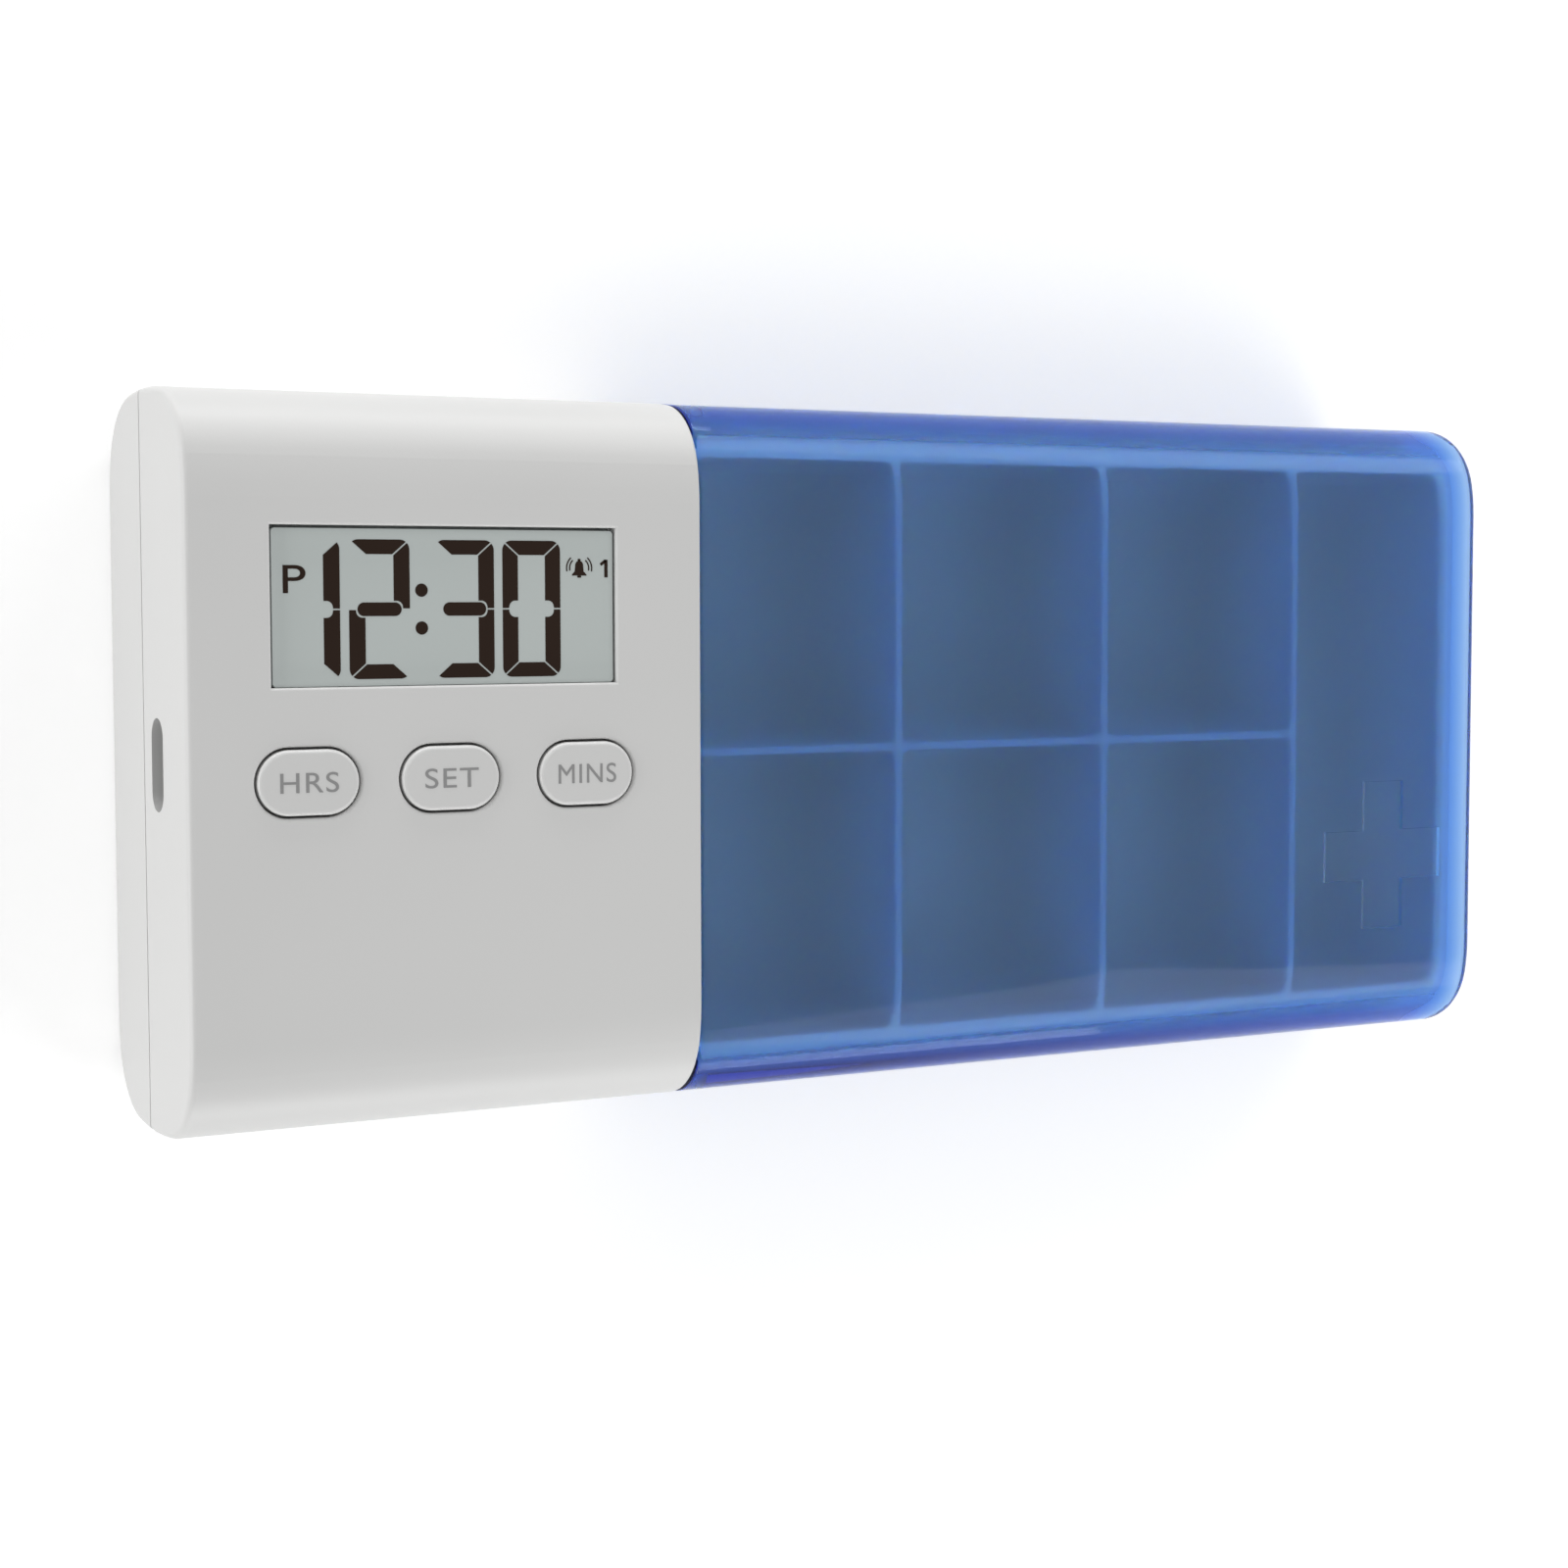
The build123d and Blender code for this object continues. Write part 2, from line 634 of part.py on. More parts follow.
# Circuit board: notched round the sounder, reaching the battery contacts at its upper edge
board_low_margin = 2.7
board_low_y = board_boss_y - board_low_margin
board_length = board_end - board_start
board_notch_gap = 0.5
board_notch = sounder_length + board_notch_gap
board_notch_half = cradle_outer + fit_gap
tab_edge_y = contact_wall_y - contact_sheet - slide_gap
tab_edge_length = compartment_length + 2 * compartment_wall
with BuildPart() as circuit_board:
    with BuildSketch(Plane.XY.offset(board_bottom)):
        with Locations((board_start + board_length / 2, (board_low_y + frame_high_y) / 2)):
            Rectangle(board_length, frame_high_y - board_low_y)
        with Locations((interior_middle, tab_edge_y / 2)):
            Rectangle(tab_edge_length, tab_edge_y)
        with Locations((interior_start + board_notch / 2, outlet_y)):
            Rectangle(board_notch, 2 * board_notch_half, mode=Mode.SUBTRACT)
        with Locations(*board_boss_places):
            Circle(screw_radius + fit_gap, mode=Mode.SUBTRACT)
        with Locations(*peg_places):
            Circle(peg_radius + slide_gap, mode=Mode.SUBTRACT)
    extrude(amount=board_thickness)
save(circuit_board.part, "circuit_board")

# Epoxy blob over the timer chip, in the well under the display
blob_radius = 4.0
blob_height = 1.3
with BuildPart() as chip_blob:
    with BuildSketch(Plane.XZ.offset(-window_center_y)):
        with BuildLine():
            blob_arc = ThreePointArc((window_x - blob_radius, board_top), (window_x, board_top + blob_height),
                                     (window_x + blob_radius, board_top))
            Line(blob_arc @ 1, blob_arc @ 0)
        make_face()
        split(bisect_by=Plane.YZ.offset(window_x), keep=Keep.TOP)
    revolve(axis=Axis((window_x, window_center_y, 0), (0, 0, 1)))
save(chip_blob.part, "chip_blob")

# Quartz crystal lying on the board
crystal_radius = 1.0
crystal_length = 6.0
crystal_drop = 6.0
crystal_edge_radius = 0.25
crystal_y = button_y - crystal_drop
with BuildPart() as quartz_crystal:
    with BuildSketch(across(window_x + crystal_length / 2, crystal_y, board_top + crystal_radius)):
        Circle(crystal_radius)
    extrude(amount=crystal_length)
    fillet(quartz_crystal.edges(), radius=crystal_edge_radius)
save(quartz_crystal.part, "quartz_crystal")

# Chip resistors and capacitors in two rows along the board's lower edge
chip_length = 1.6
chip_width = 0.8
chip_height = 0.6
chip_spacing_x = 4.2
chip_spacing_y = 3.0
chip_columns = 4
chip_rows = 2
chip_drop = 7.5
chip_center_x = window_x - button_spacing / 2
chip_center_y = button_y - chip_drop
with BuildPart() as board_parts:
    with BuildSketch(Plane.XY.offset(board_top)):
        with Locations((chip_center_x, chip_center_y)):
            with GridLocations(chip_spacing_x, chip_spacing_y, chip_columns, chip_rows):
                Rectangle(chip_length, chip_width)
    extrude(amount=chip_height)
save(board_parts.part, "board_parts")

# Sounder: cup with a sound hole towards the outlet, diaphragm, base and two leads
sounder_wall = 0.6
sound_hole_radius = 1.2
diaphragm_thickness = 0.2
diaphragm_depth = 1.3
sounder_base_thickness = 0.7
lead_radius = 0.35
lead_spread = 1.6
lead_drop = 1.2
lead_reach = 1.6
lead_bend = 0.7
sounder_bore = sounder_radius - sounder_wall
sounder_rear = interior_start + sounder_length
with BuildPart() as sounder_case:
    with BuildSketch(across(interior_start, outlet_y, sounder_height)):
        Circle(sounder_radius)
    extrude(amount=sounder_length)
    with BuildSketch(across(interior_start + sounder_wall, outlet_y, sounder_height)):
        Circle(sounder_bore)
    extrude(amount=sounder_length - sounder_wall, mode=Mode.SUBTRACT)
    with BuildSketch(across(interior_start, outlet_y, sounder_height)):
        Circle(sound_hole_radius)
    extrude(amount=sounder_wall, mode=Mode.SUBTRACT)
save(sounder_case.part, "sounder_case")

with BuildPart() as sounder_diaphragm:
    with BuildSketch(across(interior_start + diaphragm_depth, outlet_y, sounder_height)):
        Circle(sounder_bore - slide_gap)
    extrude(amount=diaphragm_thickness)
save(sounder_diaphragm.part, "sounder_diaphragm")

with BuildPart() as sounder_base:
    with BuildSketch(across(sounder_rear - sounder_base_thickness, outlet_y, sounder_height)):
        Circle(sounder_bore - slide_gap)
    extrude(amount=sounder_base_thickness)
save(sounder_base.part, "sounder_base")

with BuildPart() as sounder_leads:
    for lead_side in (-1, 1):
        lead_y = outlet_y + lead_side * lead_spread
        lead_height = sounder_height - lead_drop
        lead_end_x = sounder_rear + lead_reach
        with BuildLine():
            FilletPolyline((sounder_rear, lead_y, lead_height), (lead_end_x, lead_y, lead_height),
                           (lead_end_x, lead_y, board_bottom), radius=lead_bend)
        with BuildSketch(across(sounder_rear, lead_y, lead_height)):
            Circle(lead_radius)
        sweep()
save(sounder_leads.part, "sounder_leads")

# Battery cells: the left one has its nub at +Y, the right one at -Y
cell_edge_radius = 0.4
cell_nub_radius = 1.9
cell_nub_length = 1.0
nub_tip_y = contact_wall_y - contact_sheet - contact_bump_height
cell_layout = [("left_cell", cell_places[0], 1), ("right_cell", cell_places[1], -1)]
for cell_name, cell_x, nub_side in cell_layout:
    cell_base = Plane((cell_x, nub_side * (nub_tip_y - cell_length), cell_axis_height),
                      x_dir=(1, 0, 0), z_dir=(0, nub_side, 0))
    with BuildPart() as battery_cell:
        with BuildSketch(cell_base):
            Circle(cell_diameter / 2)
        extrude(amount=cell_length - cell_nub_length)
        fillet(battery_cell.edges(), radius=cell_edge_radius)
        with BuildSketch(cell_base.offset(cell_length - cell_nub_length)):
            Circle(cell_nub_radius)
        extrude(amount=cell_nub_length)
    save(battery_cell.part, cell_name)

# Battery contacts: stamped plates with bumps for the nubs and bent leaves for the flat ends
contact_low_gap = 1.4
contact_low = shell_wall + contact_low_gap
contact_half_width = 3.6
contact_high = ceiling_bottom - slide_gap
tab_top = board_top + contact_sheet
bump_radius = 1.6
leaf_width = 4.5
leaf_root_share = 0.8
contact_plate_y = contact_wall_y - contact_sheet / 2
contact_height = contact_high - contact_low


def contact_plate(x, side, half_width):
    """Upright plate of a battery contact, flat against an end wall of the compartment."""
    with BuildPart() as plate:
        with BuildSketch(Plane.XY.offset(contact_low)):
            with Locations((x, side * contact_plate_y)):
                Rectangle(2 * half_width, contact_sheet)
        extrude(amount=contact_height)
    return plate.part


def contact_bump(x, side):
    """Raised round bump that the nub of a cell presses on."""
    with BuildPart() as bump:
        with BuildSketch(Plane((x, side * (contact_wall_y - contact_sheet), cell_axis_height),
                               x_dir=(1, 0, 0), z_dir=(0, -side, 0))):
            Circle(bump_radius)
        extrude(amount=contact_bump_height)
    return bump.part


def contact_leaf(x, side):
    """Sprung leaf that bulges from the plate to the flat end of a cell."""
    root_y = side * contact_plate_y
    tip_y = side * (contact_plate_y - leaf_reach)
    leaf_half = leaf_root_share * contact_height / 2
    middle = contact_low + contact_height / 2
    with BuildPart() as leaf:
        with BuildSketch(across(x - leaf_width / 2)):
            with BuildLine():
                leaf_arc = ThreePointArc((root_y, middle - leaf_half), (tip_y, middle),
                                         (root_y, middle + leaf_half))
            trace(leaf_arc, line_width=contact_sheet)
        extrude(amount=leaf_width)
    return leaf.part


def contact_tab(x):
    """Tab that passes up through the ceiling to the edge of the board."""
    with BuildPart() as tab:
        with BuildSketch(Plane.XY.offset(contact_high)):
            with Locations((x, contact_plate_y)):
                Rectangle(tab_width, contact_sheet)
        extrude(amount=tab_top - contact_high)
    return tab.part


contact_shapes = {
    "positive_contact": [
        contact_plate(cell_places[0], 1, contact_half_width),
        contact_bump(cell_places[0], 1),
        contact_tab(cell_places[0]),
    ],
    "negative_contact": [
        contact_plate(cell_places[1], 1, contact_half_width),
        contact_leaf(cell_places[1], 1),
        contact_tab(cell_places[1]),
    ],
    "bridge_contact": [
        contact_plate(interior_middle, -1, cell_spacing / 2 + contact_half_width),
        contact_leaf(cell_places[0], -1),
        contact_bump(cell_places[1], -1),
    ],
}
for contact_name, shapes in contact_shapes.items():
    with BuildPart() as contact:
        for shape in shapes:
            add(shape)
    save(contact.part, contact_name)


def cross_drive(plane, places):
    """Cut a cross recess into screw heads whose faces lie on the plane."""
    with BuildSketch(plane) as drive:
        with Locations(*places):
            Rectangle(drive_slot_length, drive_slot_width)
            Rectangle(drive_slot_width, drive_slot_length)
    extrude(drive.sketch, amount=drive_slot_depth, mode=Mode.SUBTRACT)


# Case screws, sunk in the back, and board screws under the board
with BuildPart() as case_screws:
    head_face = Plane.XY.offset(case_screw_seat - case_screw_head_height)
    with BuildSketch(head_face):
        with Locations(*boss_places):
            Circle(case_screw_head_radius)
    extrude(amount=case_screw_head_height)
    with BuildSketch(Plane.XY.offset(case_screw_seat)):
        with Locations(*boss_places):
            Circle(screw_radius)
    extrude(amount=case_screw_length)
    cross_drive(head_face, boss_places)
save(case_screws.part, "case_screws")

with BuildPart() as board_screws:
    head_face = Plane.XY.offset(board_bottom - board_screw_head_height)
    with BuildSketch(head_face):
        with Locations(*board_boss_places):
            Circle(board_screw_head_radius)
    extrude(amount=board_screw_head_height)
    with BuildSketch(Plane.XY.offset(board_bottom)):
        with Locations(*board_boss_places):
            Circle(screw_radius)
    extrude(amount=board_thickness + board_screw_reach)
    cross_drive(head_face, board_boss_places)
save(board_screws.part, "board_screws")
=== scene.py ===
# %% [markdown]
# # Electronic pill box
#
# A pocket timer and a pill tray share one flat rounded case. Its moulded, stamped and cut parts are
# there already as exact solids. This script loads them as they are, gives each one the finish of its
# real material, and models what they leave out: the display's cover and signs, and the print on the
# buttons. Lengths are in metres, and MM turns a size in millimetres into metres.

# %% Load the construction
import math

import bmesh
import bpy
from mathutils import Matrix, Vector


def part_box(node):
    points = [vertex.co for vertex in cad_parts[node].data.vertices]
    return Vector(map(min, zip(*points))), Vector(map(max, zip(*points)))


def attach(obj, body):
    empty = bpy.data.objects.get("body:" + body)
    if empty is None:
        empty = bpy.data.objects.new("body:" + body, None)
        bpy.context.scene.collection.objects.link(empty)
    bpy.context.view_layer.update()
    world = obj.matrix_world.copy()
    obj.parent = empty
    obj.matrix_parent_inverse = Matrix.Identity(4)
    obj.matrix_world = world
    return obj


MM = 0.001
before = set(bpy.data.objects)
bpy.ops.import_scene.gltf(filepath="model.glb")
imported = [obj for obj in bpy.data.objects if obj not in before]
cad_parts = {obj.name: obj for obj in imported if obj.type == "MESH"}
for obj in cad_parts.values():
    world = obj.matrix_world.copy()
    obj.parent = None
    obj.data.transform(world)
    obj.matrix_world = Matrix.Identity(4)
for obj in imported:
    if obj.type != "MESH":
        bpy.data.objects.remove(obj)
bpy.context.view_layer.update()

# %% [markdown]
# ## Camera
#
# The camera stands about a quarter of a metre away, with a lens a little longer than normal, so the
# near end looks only slightly larger. It is placed by where it stands and what it aims at, with the
# case's width upright in the picture. Building its three axes by hand keeps that upright direction,
# which a Track To constraint would take from the floor's normal instead.

# %% Place the camera
camera_place = Vector((-127.12, 13.10, 230.73)) * MM
camera_aim = Vector((-13.12, -2.78, 21.30)) * MM
camera_roll = math.radians(-0.11)
camera_lens = 63.9
nearest_seen = 1 * MM

camera = bpy.data.objects.new("camera", bpy.data.cameras.new("camera"))
bpy.context.scene.collection.objects.link(camera)
bpy.context.scene.camera = camera
camera.data.lens = camera_lens
camera.data.clip_start = nearest_seen
backward = (camera_place - camera_aim).normalized()
rightward = Vector((0, 1, 0)).cross(backward).normalized()
upward = backward.cross(rightward)
turn = Matrix((rightward, upward, backward)).transposed().to_4x4()
camera.matrix_world = Matrix.Translation(camera_place) @ turn @ Matrix.Rotation(camera_roll, 4, "Z")
print("camera stands", round((camera_place - camera_aim).length / MM), "mm from its aim")

# %% [markdown]
# ## Node helpers
#
# Colours are picked as sRGB hex codes, but shaders add light up in linear values, so one
# function converts them. A second function adds a node with its options, socket values and links in a
# single call, and a third joins two sockets, which keeps each material short enough to read as a
# recipe. A socket is picked by its name, or by its place where several have the same name.

# %% Colour and node helpers
def linear(hex_code):
    """Linear colour of an sRGB hex code."""
    shares = [int(hex_code[i:i + 2], 16) / 255 for i in (1, 3, 5)]
    return (*[s / 12.92 if s <= 0.04045 else ((s + 0.055) / 1.055) ** 2.4 for s in shares], 1)


def add_node(material, kind, values=None, links=None, **options):
    """Add a node: options are its own settings, values fill its sockets, links join outputs to them."""
    made = material.node_tree.nodes.new(kind)
    for name, value in options.items():
        setattr(made, name, value)
    for socket, value in (values or {}).items():
        made.inputs[socket].default_value = value
    for socket, output in (links or {}).items():
        join(output, made.inputs[socket])
    return made


def join(output, socket):
    """Link an output to a socket of a node that is already there."""
    output.id_data.links.new(output, socket)


def start_material(name, **values):
    """New material whose Principled shader has the given values; returns material, shader, place."""
    material = bpy.data.materials.new(name)
    material.use_nodes = True
    shader = material.node_tree.nodes["Principled BSDF"]
    for socket, value in values.items():
        shader.inputs[socket.replace("_", " ")].default_value = value
    place = add_node(material, "ShaderNodeTexCoord").outputs["Object"]
    return material, shader, place


def wear(name, *node_names):
    """Give the named solids one material."""
    for node_name in node_names:
        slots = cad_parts[node_name].data.materials
        slots.clear()
        slots.append(bpy.data.materials[name])


print("white in linear:", linear("#ffffff"))

# %% [markdown]
# ## Floor, backdrop and light
#
# The case lies on a white sweep under soft light. The picture's background is pure white, but more
# light would bleach the white plastic, so the white comes from the floor and the world themselves:
# rays that come straight from the camera, or by way of gloss or clear plastic, see them at full
# white, and all other light stays at a plain level.

# %% Light the world
world_light = 0.42
world = bpy.data.worlds.new("white surroundings")
bpy.context.scene.world = world
world.use_nodes = True
bpy.context.scene.view_settings.view_transform = "Standard"


def seen_directly(owner):
    """1 for rays that show the surroundings to the eye, 0 for rays that light the object."""
    path = add_node(owner, "ShaderNodeLightPath").outputs
    straight = add_node(owner, "ShaderNodeMath", operation="MAXIMUM",
                        links={0: path["Is Camera Ray"], 1: path["Is Glossy Ray"]}).outputs[0]
    clear = add_node(owner, "ShaderNodeMath", operation="MAXIMUM",
                     links={0: straight, 1: path["Is Transmission Ray"]}).outputs[0]
    unscattered = add_node(owner, "ShaderNodeMath", {1: 0.5}, {0: path["Diffuse Depth"]},
                           operation="LESS_THAN").outputs[0]
    return add_node(owner, "ShaderNodeMath", operation="MULTIPLY",
                    links={0: clear, 1: unscattered}).outputs[0]


strength = add_node(world, "ShaderNodeMapRange", {"To Min": world_light, "To Max": 1.0},
                    {"Value": seen_directly(world)})
background = world.node_tree.nodes["Background"]
background.inputs["Color"].default_value = linear("#ffffff")
join(strength.outputs["Result"], background.inputs["Strength"])
print("world gives", world_light, "of full white as light")

# %% [markdown]
# Five large soft lamps do the rest. Three stand low beside the far side, the near end and the near
# side, so they light the rounded edges more than the face and draw the pale bands there. The two at
# the corners stand higher: one opens up the far cells of the tray, and the other makes the face a
# little lighter towards the lower right, as in a room with one main window. Each is placed by its
# bearing from the case, its rise above the floor and its distance.

# %% Hang soft lamps
# bearing and rise in degrees, distance, width and height in metres, power in watts
lamps = {
    "far_side_lamp": (90, 5, 0.76, (0.70, 0.10), 2.8),
    "near_end_lamp": (180, 9, 0.76, (0.70, 0.20), 2.8),
    "near_side_lamp": (-80, 9, 0.76, (0.70, 0.20), 2.0),
    "far_corner_lamp": (58, 26, 0.90, (0.60, 0.30), 2.0),
    "near_corner_lamp": (-42, 40, 0.60, (0.30, 0.30), 0.95),
}
for lamp_name, (bearing, rise, distance, size, power) in lamps.items():
    lamp = bpy.data.objects.new(lamp_name, bpy.data.lights.new(lamp_name, "AREA"))
    bpy.context.scene.collection.objects.link(lamp)
    lamp.data.energy = power
    lamp.data.shape = "RECTANGLE"
    lamp.data.size, lamp.data.size_y = size
    swing = Matrix.Rotation(math.radians(bearing), 3, "Z") @ Matrix.Rotation(math.radians(-rise), 3, "Y")
    lamp.location = swing @ Vector((distance, 0, 0))
    lamp.rotation_euler = lamp.location.to_track_quat("Z", "Y").to_euler()
    print(lamp_name, "power", power, "W")

# %% [markdown]
# The floor is a disc of white paper. It shows at a share of full white on top of its real shading, so
# the soft shadow stays that tells the eye where the case touches down. It lies a twentieth of a
# millimetre below the case: faces in the very same plane would fight for each ray.

# %% Lay the floor
floor_radius = 0.7
floor_segments = 64
floor_below = 0.05 * MM
floor_glow = 0.42
floor_shape = bmesh.new()
bmesh.ops.create_circle(floor_shape, cap_ends=True, segments=floor_segments, radius=floor_radius)
bmesh.ops.translate(floor_shape, vec=(0, 0, -floor_below), verts=floor_shape.verts)
floor_mesh = bpy.data.meshes.new("floor")
floor_shape.to_mesh(floor_mesh)
floor_shape.free()
floor = bpy.data.objects.new("floor", floor_mesh)
bpy.context.scene.collection.objects.link(floor)

paper, shader, _ = start_material("matt paper sweep", Base_Color=linear("#ececec"), Roughness=1.0,
                                  Specular_IOR_Level=0.0)
level = add_node(paper, "ShaderNodeMath", {1: floor_glow}, {0: seen_directly(paper)}, operation="MULTIPLY")
glow = add_node(paper, "ShaderNodeEmission", {"Color": linear("#ffffff")}, {"Strength": level.outputs[0]})
shaded_and_glowing = add_node(paper, "ShaderNodeAddShader", links={0: shader.outputs[0], 1: glow.outputs[0]})
join(shaded_and_glowing.outputs[0], paper.node_tree.nodes["Material Output"].inputs["Surface"])
floor_mesh.materials.append(paper)
print("floor is", 2 * floor_radius, "m across")

# %% [markdown]
# ## White ABS of the housing
#
# The housing is ABS, moulded in a spark-eroded tool. That gives the eye an even, slightly warm white
# with a soft sheen: no sharp reflection, only a broad light band where the edges curve. A fine grain
# of about a quarter of a millimetre breaks the sheen up, drawn a little coarser than the real one so
# that it shows. The same recipe serves every grained surface: it takes the grain's size and depth, and
# two shades and two roughnesses, between which the surface changes slowly.

# %% Write the recipe for grained surfaces
flow_length = 18 * MM


def mould_grain(material, shader, place, grain, depth, shades, roughness):
    """Fine bumps left by the mould, and a faint change of shade and gloss where the melt flowed."""
    fine = add_node(material, "ShaderNodeTexNoise", {"Scale": 1 / grain, "Detail": 3.0}, {"Vector": place})
    bump = add_node(material, "ShaderNodeBump", {"Distance": depth, "Strength": 1.0},
                    {"Height": fine.outputs["Fac"]})
    join(bump.outputs["Normal"], shader.inputs["Normal"])
    flow = add_node(material, "ShaderNodeTexNoise", {"Scale": 1 / flow_length, "Detail": 2.0},
                    {"Vector": place})
    tone = add_node(material, "ShaderNodeValToRGB", links={"Fac": flow.outputs["Fac"]})
    for stop, hex_code in zip(tone.color_ramp.elements, shades):
        stop.color = linear(hex_code)
    join(tone.outputs["Color"], shader.inputs["Base Color"])
    sheen = add_node(material, "ShaderNodeMapRange", {"To Min": roughness[0], "To Max": roughness[1]},
                     {"Value": flow.outputs["Fac"]})
    join(sheen.outputs["Result"], shader.inputs["Roughness"])


def surface(name, grain, depth, shades, roughness, solids=(), **values):
    """Make a grained material with the given shader values and give it to the named solids."""
    mould_grain(*start_material(name, **values), grain, depth, shades, roughness)
    wear(name, *solids)
    print(name, "grain", round(grain / MM, 2), "mm")


# %% [markdown]
# The buttons come from a finer tool, so they shine a little more than the housing: satin, where the
# housing is matt. The frame behind the window, which is hidden once the case is shut, comes from a
# coarser tool and looks duller and greyer.

# %% Make the white plastics
surface("white ABS, fine moulded texture", grain=0.25 * MM, depth=0.004 * MM,
        shades=("#d2d2d1", "#d6d6d5"), roughness=(0.42, 0.50), IOR=1.54,
        solids=["front_shell", "back_shell", "battery_door"])
surface("white ABS, satin buttons", grain=0.25 * MM, depth=0.002 * MM,
        shades=("#d3d3d2", "#d6d6d5"), roughness=(0.30, 0.36), IOR=1.54,
        solids=["hour_button", "mode_button", "minute_button"])
surface("white ABS, inner frame", grain=0.4 * MM, depth=0.006 * MM,
        shades=("#cdcdca", "#d5d5d2"), roughness=(0.5, 0.6), IOR=1.54, solids=["display_frame"])

# %% [markdown]
# ## Frosted polypropylene of the sleeve
#
# The sleeve is polypropylene with a blue dye, some two millimetres thick and matt from its mould. Two
# things make its look: the matt skin blurs what lies behind it, and the dye takes red light away with
# distance. So the colour isn't on the surface but in the volume: a wall seen square on is pale, and one
# seen along its length, at the silhouette, is a deep saturated blue. The absorption per metre is set on
# a Volume Absorption node, and the surface itself stays white. Polypropylene bends light by 1.49, but
# it also scatters it inside, which fills the wall with light from all sides. Tracing that scattering
# costs minutes of noise. A lower bend of 1.17 lets rays run through the curved edge in the same soft
# way, and a thin coat with the real bend carries the skin's gloss.

# %% Make the sleeve's plastic
dye_per_metre = (340.0, 184.0, 36.0)
outside_roughness = 0.05
inside_roughness = 1.0
skin_grain = 0.3 * MM
skin_depth = 0.001 * MM

sleeve_plastic, shader, place = start_material(
    "polypropylene, frosted blue", Base_Color=linear("#ffffff"), IOR=1.17, Transmission_Weight=0.98,
    Coat_Weight=0.03, Coat_Roughness=0.3, Coat_IOR=1.5)
strongest = max(dye_per_metre)
dye = add_node(sleeve_plastic, "ShaderNodeVolumeAbsorption", {
    "Density": strongest, "Color": (*[1 - share / strongest for share in dye_per_metre], 1)})
join(dye.outputs[0], sleeve_plastic.node_tree.nodes["Material Output"].inputs["Volume"])
frost = add_node(sleeve_plastic, "ShaderNodeTexNoise", {"Scale": 1 / skin_grain, "Detail": 2.0},
                 {"Vector": place})
frost_bump = add_node(sleeve_plastic, "ShaderNodeBump", {"Distance": skin_depth, "Strength": 1.0},
                      {"Height": frost.outputs["Fac"]})
join(frost_bump.outputs["Normal"], shader.inputs["Normal"])
print("dye per millimetre:", [round(share * MM, 3) for share in dye_per_metre])

# %% [markdown]
# The mould's core is rougher than its cavity, so the sleeve's inside is more matt than its outside. One
# material can tell the two apart: the outside faces away from the sleeve's middle and the inside
# towards it. The Geometry node flips the normal towards the ray, so the Backfacing output turns it
# back first.

# %% Make the inside more matt than the outside
sleeve_low, sleeve_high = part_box("sleeve")
geometry = add_node(sleeve_plastic, "ShaderNodeNewGeometry").outputs
from_middle = add_node(sleeve_plastic, "ShaderNodeVectorMath", {1: (sleeve_low + sleeve_high) / 2},
                       {0: place}, operation="SUBTRACT")
faces_out = add_node(sleeve_plastic, "ShaderNodeVectorMath", operation="DOT_PRODUCT",
                     links={0: from_middle.outputs["Vector"], 1: geometry["True Normal"]})
side = add_node(sleeve_plastic, "ShaderNodeMapRange", {"To Min": 1.0, "To Max": -1.0},
                {"Value": geometry["Backfacing"]})
outward = add_node(sleeve_plastic, "ShaderNodeMath", operation="MULTIPLY",
                   links={0: faces_out.outputs["Value"], 1: side.outputs["Result"]})
is_outside = add_node(sleeve_plastic, "ShaderNodeMath", {1: 0.0}, {0: outward.outputs[0]},
                      operation="GREATER_THAN")
matt = add_node(sleeve_plastic, "ShaderNodeMapRange",
                {"To Min": inside_roughness, "To Max": outside_roughness}, {"Value": is_outside.outputs[0]})
join(matt.outputs["Result"], shader.inputs["Roughness"])
wear("polypropylene, frosted blue", "sleeve")
print("sleeve is", [round(side_length / MM, 1) for side_length in sleeve_high - sleeve_low], "mm")

# %% [markdown]
# ## Milky polypropylene of the tray
#
# The tray is the same plastic without the dye: natural polypropylene, which is milky and a little warm
# because light scatters between its crystals. Light enters it, spreads for a millimetre or two and
# comes out again, so thin dividers hardly stand out from the floor. Subsurface scattering gives exactly
# that. Its radius is the distance for red, green and blue, in millimetres through the scale.

# %% Make the tray's plastic
surface("polypropylene, natural", grain=0.5 * MM, depth=0.004 * MM,
        shades=("#ece5da", "#f2ebe0"), roughness=(0.35, 0.45), IOR=1.49, Subsurface_Weight=1.0,
        Subsurface_Radius=(1.0, 1.5, 2.5), Subsurface_Scale=1.0 * MM, solids=["pill_tray"])

# %% [markdown]
# ## Display: film, glass and reflector
#
# The display is a reflective liquid-crystal panel: a polarising film on top, two sheets of glass with
# the crystal between them, and a reflector underneath. Film and reflector together give the eye a dull
# grey-green field with hardly any shine. All of that could be traced through real glass, but at this
# size it would only add noise, so the front film is drawn opaque, in the colour of the whole stack. The
# layers below it get their own finishes, for whoever takes the housing apart.

